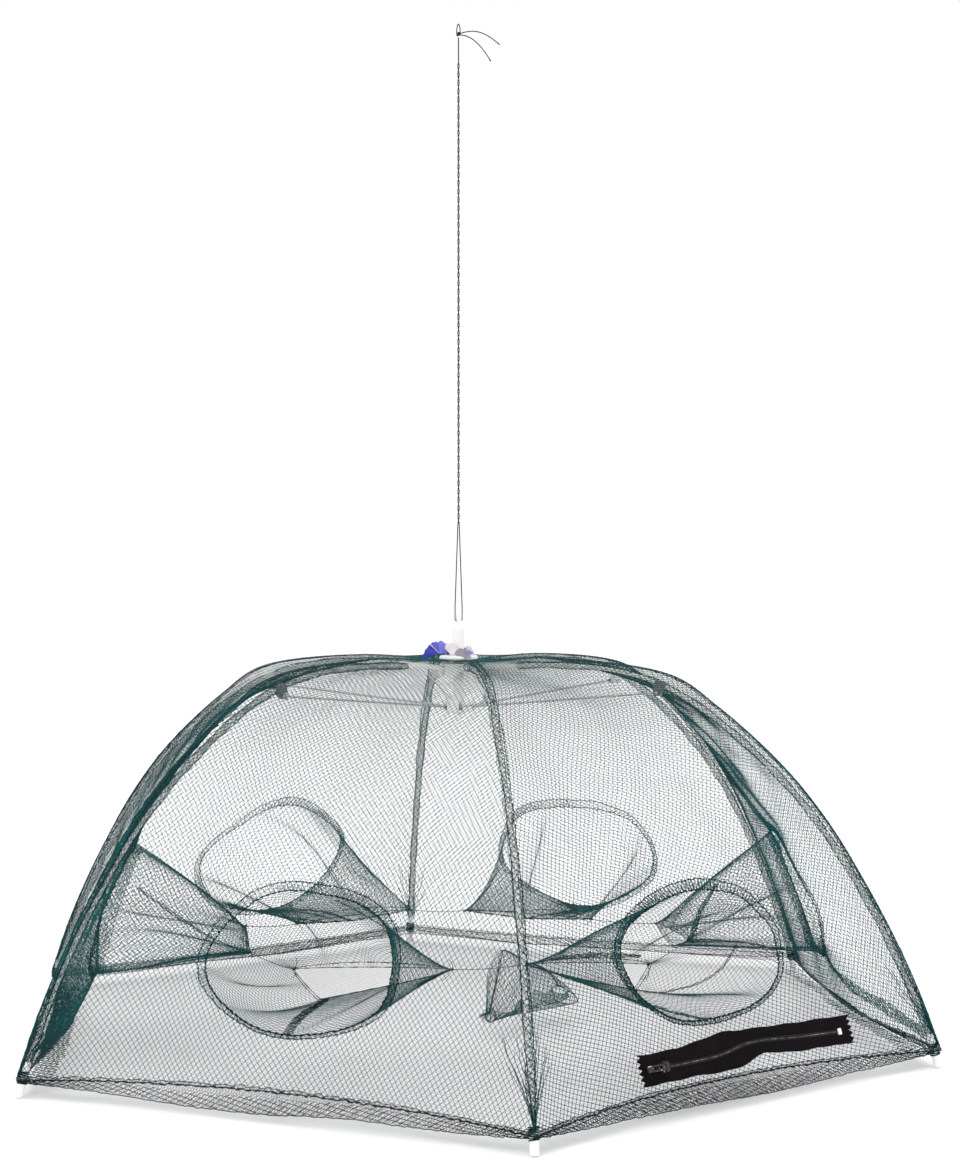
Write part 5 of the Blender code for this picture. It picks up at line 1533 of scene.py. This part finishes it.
# Zip
def zip_frame():
    """Frame of the zip: x along the tape to the right, y up the wall, z out of the net."""
    out = Vector((math.cos(panel_angle(0)), math.sin(panel_angle(0)), 0.0))
    along = Vector((-out.y, out.x, 0.0))
    up = Vector((0.0, 0.0, 1.0))
    normal = (out * math.cos(ZIP_TILT) + up * math.sin(ZIP_TILT)).normalized()
    rise = normal.cross(along)
    at = out * ZIP_STAND_OFF + up * ZIP_Z + along * (ZIP_LEFT + ZIP_RIGHT) / 2
    return Matrix((
        (along.x, rise.x, normal.x, at.x), (along.y, rise.y, normal.y, at.y),
        (along.z, rise.z, normal.z, at.z), (0.0, 0.0, 0.0, 1.0),
    ))


def zip_bend(x):
    """The zip's wave along the wall and its lift off the straight line."""
    kink = 0.0052 * math.exp(-(((x - 0.002) / (0.026 if x < 0.002 else 0.055)) ** 2))
    return 0.0008 * math.sin(math.pi * x / ZIP_HALF) + kink, 0.0016 * (x / ZIP_HALF) ** 2


def on_zip(points):
    """World points of points given in the zip's frame."""
    place = zip_frame()
    return np.array([place @ Vector(p) for p in points])


def build_zip(mats):
    """Woven tape with pinked ends, nylon coil, stitching, stop, slider and pull tab."""
    ripple = waves(400, 0.02, 0.06)
    edge_wave = waves(401, 0.03, 0.09)

    def tape_point(x, y, z):
        side = y / TAPE_SIDE
        wave = zip_bend(x + 0.022 * side)[0]
        dip = zip_bend(x)[1]
        soft = 0.0006 * side * side * (1 + ripple(x, 3 * y))
        sway = 0.0009 * edge_wave(x, 0.2 * side) * abs(side) ** 3
        pinch = 1 - 0.20 * math.exp(-(((x - 0.014) / 0.016) ** 2)) * (side < 0)
        y = y * pinch
        soft = soft + 0.0012 * (1 - pinch) / 0.2 * abs(side)
        return Vector((x, y + wave + sway, z + dip + soft))

    bm = bmesh.new()
    rows, columns = 220, 40
    grid = []
    for i in range(rows + 1):
        row = []
        for j in range(columns + 1):
            y = -TAPE_SIDE + 2 * TAPE_SIDE * j / columns
            tooth = abs(((j / columns * 5) % 1.0) * 2 - 1)
            reach = ZIP_HALF - 0.0040 * (1 - tooth)
            x = -reach + 2 * reach * i / rows
            row.append(bm.verts.new(tape_point(x, y, 0.0010)))
        grid.append(row)
    for i in range(rows):
        for j in range(columns):
            bm.faces.new((grid[i][j], grid[i][j + 1], grid[i + 1][j + 1], grid[i + 1][j]))
    tape = make_object("zip_tape_cloth", bm, [mats["tape"]], matrix=zip_frame())
    thicken(tape, 0.0009, -1.0)
    ride_for(tape, "zip", "zip_tape")

    strands = Strands()
    for side in (-1, 1):
        count = int(2 * COIL_END / COIL_PITCH)
        t = np.linspace(0, count, count * 8)
        x = -COIL_END + 2 * COIL_END * t / count
        y = side * (0.0002 + 0.0016 * (0.5 - 0.5 * np.cos(2 * math.pi * t)))
        z = 0.00115 + 0.0006 + 0.00055 * np.sin(2 * math.pi * t)
        bend = np.array([zip_bend(v) for v in x])
        local = np.stack([x, y + bend[:, 0], z + bend[:, 1]], axis=-1)
        strands.path(on_zip(local), 0.00034, 0, 5)
    x = np.linspace(-COIL_END + 0.006, COIL_END, 220)
    local = [Vector((a, zip_bend(a)[0] + 0.0002 * math.sin(a * 90), 0.0023 + zip_bend(a)[1])) for a in x]
    glint = 0.00016 + 0.00022 * np.clip(waves(402, 0.010, 0.030)(x, 0 * x), 0, 1)
    strands.path(on_zip(local), glint, 2, 4)
    for y in (-0.0021, 0.0021):
        x = np.linspace(-ZIP_HALF + 0.004, ZIP_HALF - 0.004, 260)
        lift = 0.0013 + 0.00012 * np.sin(x * 2500)
        local = [tape_point(a, y, b) for a, b in zip(x, lift)]
        strands.path(on_zip(local), 0.00022, 1, 4)
    coil = strands.build("zip_coil_teeth", [mats["coil"], mats["tape"], mats["glint"]])
    ride_for(coil, "zip", "zip_coil")

    strands = Strands()
    for y in (-0.0105, 0.0105):
        for start in np.arange(-ZIP_HALF + 0.007, ZIP_HALF - 0.008, STITCH_EVERY):
            local = [
                tape_point(start + STITCH_LENGTH * t, y, 0.00118 + 0.0002 * math.sin(math.pi * t))
                for t in np.linspace(0, 1, 6)
            ]
            strands.path(on_zip(local), 0.00024, 0, 4)
    stitches = strands.build("zip_stitches", [mats["seam"]])
    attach(stitches, "zip")

    repaint("zip_stop", mats["white"])
    for node, width in (("zip_slider", 0.0005), ("zip_pull", 0.0002)):
        repaint(node, mats["dark"])
        bevel(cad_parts[node], width)
    bevel(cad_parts["zip_stop"], 0.0003)


# Bait bag
def bag_points(angle, share):
    """Points of the bait bag: angle round it, share along it from its tied corner."""
    left, right = np.array([0.021, -0.060]), np.array([0.099, 0.016])
    run = right - left
    length = np.linalg.norm(run)
    run = run / length
    across = np.array([-run[1], run[0]])
    opening = np.minimum(1.0, 0.16 + 5.5 * share)
    swell = opening * np.sqrt(np.maximum(0.0, 1 - (np.abs(share - 0.42) / 0.62) ** 4))
    crease = 1 + 0.16 * np.sin(3 * angle + 7 * share) + 0.10 * np.sin(5 * angle - 9 * share + 1.0)
    tall = 0.065 * np.maximum(0.08, swell) * (1 - 0.52 * np.clip((share - 0.15) / 0.85, 0, 1))
    thick = 0.0150 * np.maximum(0.10, swell * (1 - 0.35 * share)) * crease
    height = FLOOR_Z + 0.0022 + tall * (0.5 - 0.5 * np.cos(angle)) * (0.96 + 0.04 * np.sin(9 * share))
    side = thick * np.sin(angle) + 0.003 * np.sin(6 * share + angle)
    sag = 0.022 * np.clip((share - 0.35) / 0.4, 0, 1) * np.clip(-np.sin(angle), 0, 1)
    side = side - sag * (0.5 + 0.5 * np.cos(angle))
    flat = left + run * (length * share)[:, None] + across * side[:, None]
    return np.column_stack([flat, height])


def build_bag(settings, mats):
    """A sagging bag of net for bait, tied at its left corner."""
    angle, share, families = tube_net(around=52, rows=44)
    points = bag_points(angle, share)
    normals = unit(points - bag_points(angle + math.pi, share) + 1e-6)
    strands = Strands()
    for links in families:
        strands.links(points, normals, links, settings.strand_radius * 0.85)
    t = np.linspace(0.0, 1.0, 80)
    for angle_at, radius in ((math.pi, 1.0), (math.pi * 0.96, 0.8), (0.35, 0.9)):
        line = bag_points(np.full(80, angle_at), t)
        strands.path(line, settings.seam_radius * radius, SEAM)
    for share_at in (0.0, 0.012, 0.99):
        a = np.linspace(0, 2 * math.pi, 40, endpoint=False)
        strands.path(bag_points(a, np.full(40, share_at)), settings.seam_radius, SEAM, 4, closed=True)
    rng = np.random.default_rng(8)
    t = np.linspace(0, 1, 60)
    along = 0.10 + 0.72 * t
    around = 5.85 - 1.05 * t + 0.12 * np.sin(9 * t)
    taper = (0.15 + 0.85 * np.sin(math.pi * t) ** 0.8) * (1 + 0.3 * np.sin(27 * t))
    band(strands, lambda off: bag_points(around + off * taper / 0.020, along), 0.013, 5, rng, settings)
    corner = bag_points(np.array([math.pi]), np.array([0.0]))[0]
    for _ in range(34):
        away = unit(rng.normal(0, 1, 3) * [1, 1, 0.5] + [-0.8, -0.5, 0.1])
        s = np.linspace(0, 1, 8)[:, None]
        tuft = corner + away * rng.uniform(0.006, 0.013) * s + [0, 0, -0.003] * s**2
        tuft[:, 2] = np.maximum(tuft[:, 2], FLOOR_Z + 0.0012)
        strands.path(tuft, settings.strand_radius * 1.3, rng.integers(1, 3), 3)
    obj = strands.build("bait_bag_net", [mats["twine"], mats["seam"], mats["gather"]])
    ride_for(obj, "hub", "bait_bag")


# Camera and studio
def place_camera(settings):
    """The camera at the photograph's viewing angle."""
    data = bpy.data.cameras.new("view")
    data.sensor_width = SENSOR
    data.lens = FOCAL_PX * SENSOR / PHOTO_PX
    data.clip_end = 60.0
    obj = linked("view", data)
    yaw, pitch = settings.view_yaw, settings.view_pitch
    right = Vector((math.cos(yaw), math.sin(yaw), 0.0))
    ahead = Vector((-math.sin(yaw), math.cos(yaw), 0.0))
    aim = right * AIM_RIGHT + Vector((0.0, 0.0, AIM_UP))
    look = ahead * math.cos(pitch) - Vector((0.0, 0.0, math.sin(pitch)))
    obj.location = aim - look * settings.view_distance
    obj.rotation_euler = (math.pi / 2 - pitch, 0.0, yaw)
    bpy.context.scene.camera = obj


def build_stage(settings):
    """A pale floor that keeps the shadow, a white surround and soft lights."""
    bm = bmesh.new()
    corners = [(x * STAGE_HALF, y * STAGE_HALF, STAGE_Z) for x, y in ((-1, -1), (1, -1), (1, 1), (-1, 1))]
    bm.faces.new([bm.verts.new(corner) for corner in corners])
    shade = Shade("floor_look", 0.9)
    shade.colour(shade.ramp(shade.noise(3.0, 2.0), ((0.3, (0.955, 0.955, 0.955)), (0.7, (0.965, 0.965, 0.965)))))
    floor = make_object("studio_floor", bm, [shade.mat], smooth=False)

    world = bpy.data.worlds.new("studio")
    bpy.context.scene.world = world
    world.use_nodes = True
    tree = world.node_tree
    tree.nodes.clear()
    output = tree.nodes.new("ShaderNodeOutputWorld")
    rays = tree.nodes.new("ShaderNodeLightPath")
    mix = tree.nodes.new("ShaderNodeMixShader")
    tree.links.new(rays.outputs["Is Camera Ray"], mix.inputs["Fac"])
    for place, strength in ((1, settings.light_level), (2, 1.0)):
        white = tree.nodes.new("ShaderNodeBackground")
        white.inputs["Color"].default_value = (1.0, 1.0, 1.0, 1.0)
        white.inputs["Strength"].default_value = strength
        tree.links.new(white.outputs["Background"], mix.inputs[place])
    tree.links.new(mix.outputs["Shader"], output.inputs["Surface"])

    for name, place, size, power in LAMPS:
        data = bpy.data.lights.new(name, "AREA")
        data.size = size
        data.energy = power
        lamp = linked(name, data)
        lamp.location = place
        lamp.rotation_euler = (LAMP_AIM - Vector(place)).to_track_quat("-Z", "Y").to_euler()
    bpy.context.scene.view_settings.view_transform = "Standard"


MATERIALS = {}


class TrapStep:
    """What the operators share: each builds its pieces from the settings."""

    bl_options = {"REGISTER", "UNDO"}

    def execute(self, context):
        """Build this step's pieces."""
        settings = context.scene.trap_settings
        if not MATERIALS:
            MATERIALS.update(make_materials(settings))
        self.build(settings)
        return {"FINISHED"}


class TRAP_OT_camera(TrapStep, bpy.types.Operator):
    """Place the camera at the photograph's viewing angle"""

    bl_idname = "trap.camera"
    bl_label = "Camera"

    def build(self, settings):
        place_camera(settings)


class TRAP_OT_string(TrapStep, bpy.types.Operator):
    """Twist the doubled pull string and tie its knot"""

    bl_idname = "trap.string"
    bl_label = "Pull string"

    def build(self, settings):
        build_string(MATERIALS)


class TRAP_OT_walls(TrapStep, bpy.types.Operator):
    """Weave the six net walls with their rib and entrance seams"""

    bl_idname = "trap.walls"
    bl_label = "Net walls"

    def build(self, settings):
        build_walls(settings, MATERIALS)


class TRAP_OT_funnels(TrapStep, bpy.types.Operator):
    """Weave the six entrance funnels"""

    bl_idname = "trap.funnels"
    bl_label = "Entrance funnels"

    def build(self, settings):
        build_funnels(settings, MATERIALS)


class TRAP_OT_floors(TrapStep, bpy.types.Operator):
    """Weave the six floor sections and their hem"""

    bl_idname = "trap.floors"
    bl_label = "Net floor"

    def build(self, settings):
        build_floors(settings, MATERIALS)


class TRAP_OT_hub(TrapStep, bpy.types.Operator):
    """Finish the hub and sew its cloth rosette"""

    bl_idname = "trap.hub"
    bl_label = "Hub and rosette"

    def build(self, settings):
        build_hub(settings, MATERIALS)


class TRAP_OT_ribs(TrapStep, bpy.types.Operator):
    """Make the rods, foot caps, clips and stretcher wires"""

    bl_idname = "trap.ribs"
    bl_label = "Ribs and stretchers"

    def build(self, settings):
        build_ribs(settings, MATERIALS)


class TRAP_OT_zip(TrapStep, bpy.types.Operator):
    """Make the zip's tape, coil and stitching"""

    bl_idname = "trap.zip"
    bl_label = "Zip"

    def build(self, settings):
        build_zip(MATERIALS)


class TRAP_OT_bag(TrapStep, bpy.types.Operator):
    """Weave the bait bag on the floor"""

    bl_idname = "trap.bag"
    bl_label = "Bait bag"

    def build(self, settings):
        build_bag(settings, MATERIALS)


class TRAP_OT_stage(TrapStep, bpy.types.Operator):
    """Set up the pale floor, the white surround and the lights"""

    bl_idname = "trap.stage"
    bl_label = "Studio"

    def build(self, settings):
        build_stage(settings)


class TRAP_PT_panel(bpy.types.Panel):
    """The trap's settings and steps"""

    bl_idname = "TRAP_PT_panel"
    bl_label = "Umbrella trap"
    bl_space_type = "VIEW_3D"
    bl_region_type = "UI"
    bl_category = "Trap"

    def draw(self, context):
        settings = context.scene.trap_settings
        for name in TrapSettings.__annotations__:
            self.layout.prop(settings, name)
        for step in OPERATORS:
            self.layout.operator(step.bl_idname)


OPERATORS = (
    TRAP_OT_camera, TRAP_OT_string, TRAP_OT_walls, TRAP_OT_funnels, TRAP_OT_floors,
    TRAP_OT_hub, TRAP_OT_ribs, TRAP_OT_zip, TRAP_OT_bag, TRAP_OT_stage,
)
CLASSES = (TrapSettings, *OPERATORS, TRAP_PT_panel)


def register():
    """Add the settings, operators and panel to Blender."""
    for item in CLASSES:
        bpy.utils.register_class(item)
    bpy.types.Scene.trap_settings = PointerProperty(type=TrapSettings)


def unregister():
    """Take them out again."""
    del bpy.types.Scene.trap_settings
    for item in reversed(CLASSES):
        bpy.utils.unregister_class(item)


def main():
    """Build every piece in order."""
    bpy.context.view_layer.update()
    register()
    bpy.ops.trap.camera()
    bpy.ops.trap.string()
    bpy.ops.trap.walls()
    bpy.ops.trap.funnels()
    bpy.ops.trap.floors()
    bpy.ops.trap.hub()
    bpy.ops.trap.ribs()
    bpy.ops.trap.zip()
    bpy.ops.trap.bag()
    bpy.ops.trap.stage()


if __name__ == "__main__":
    main()
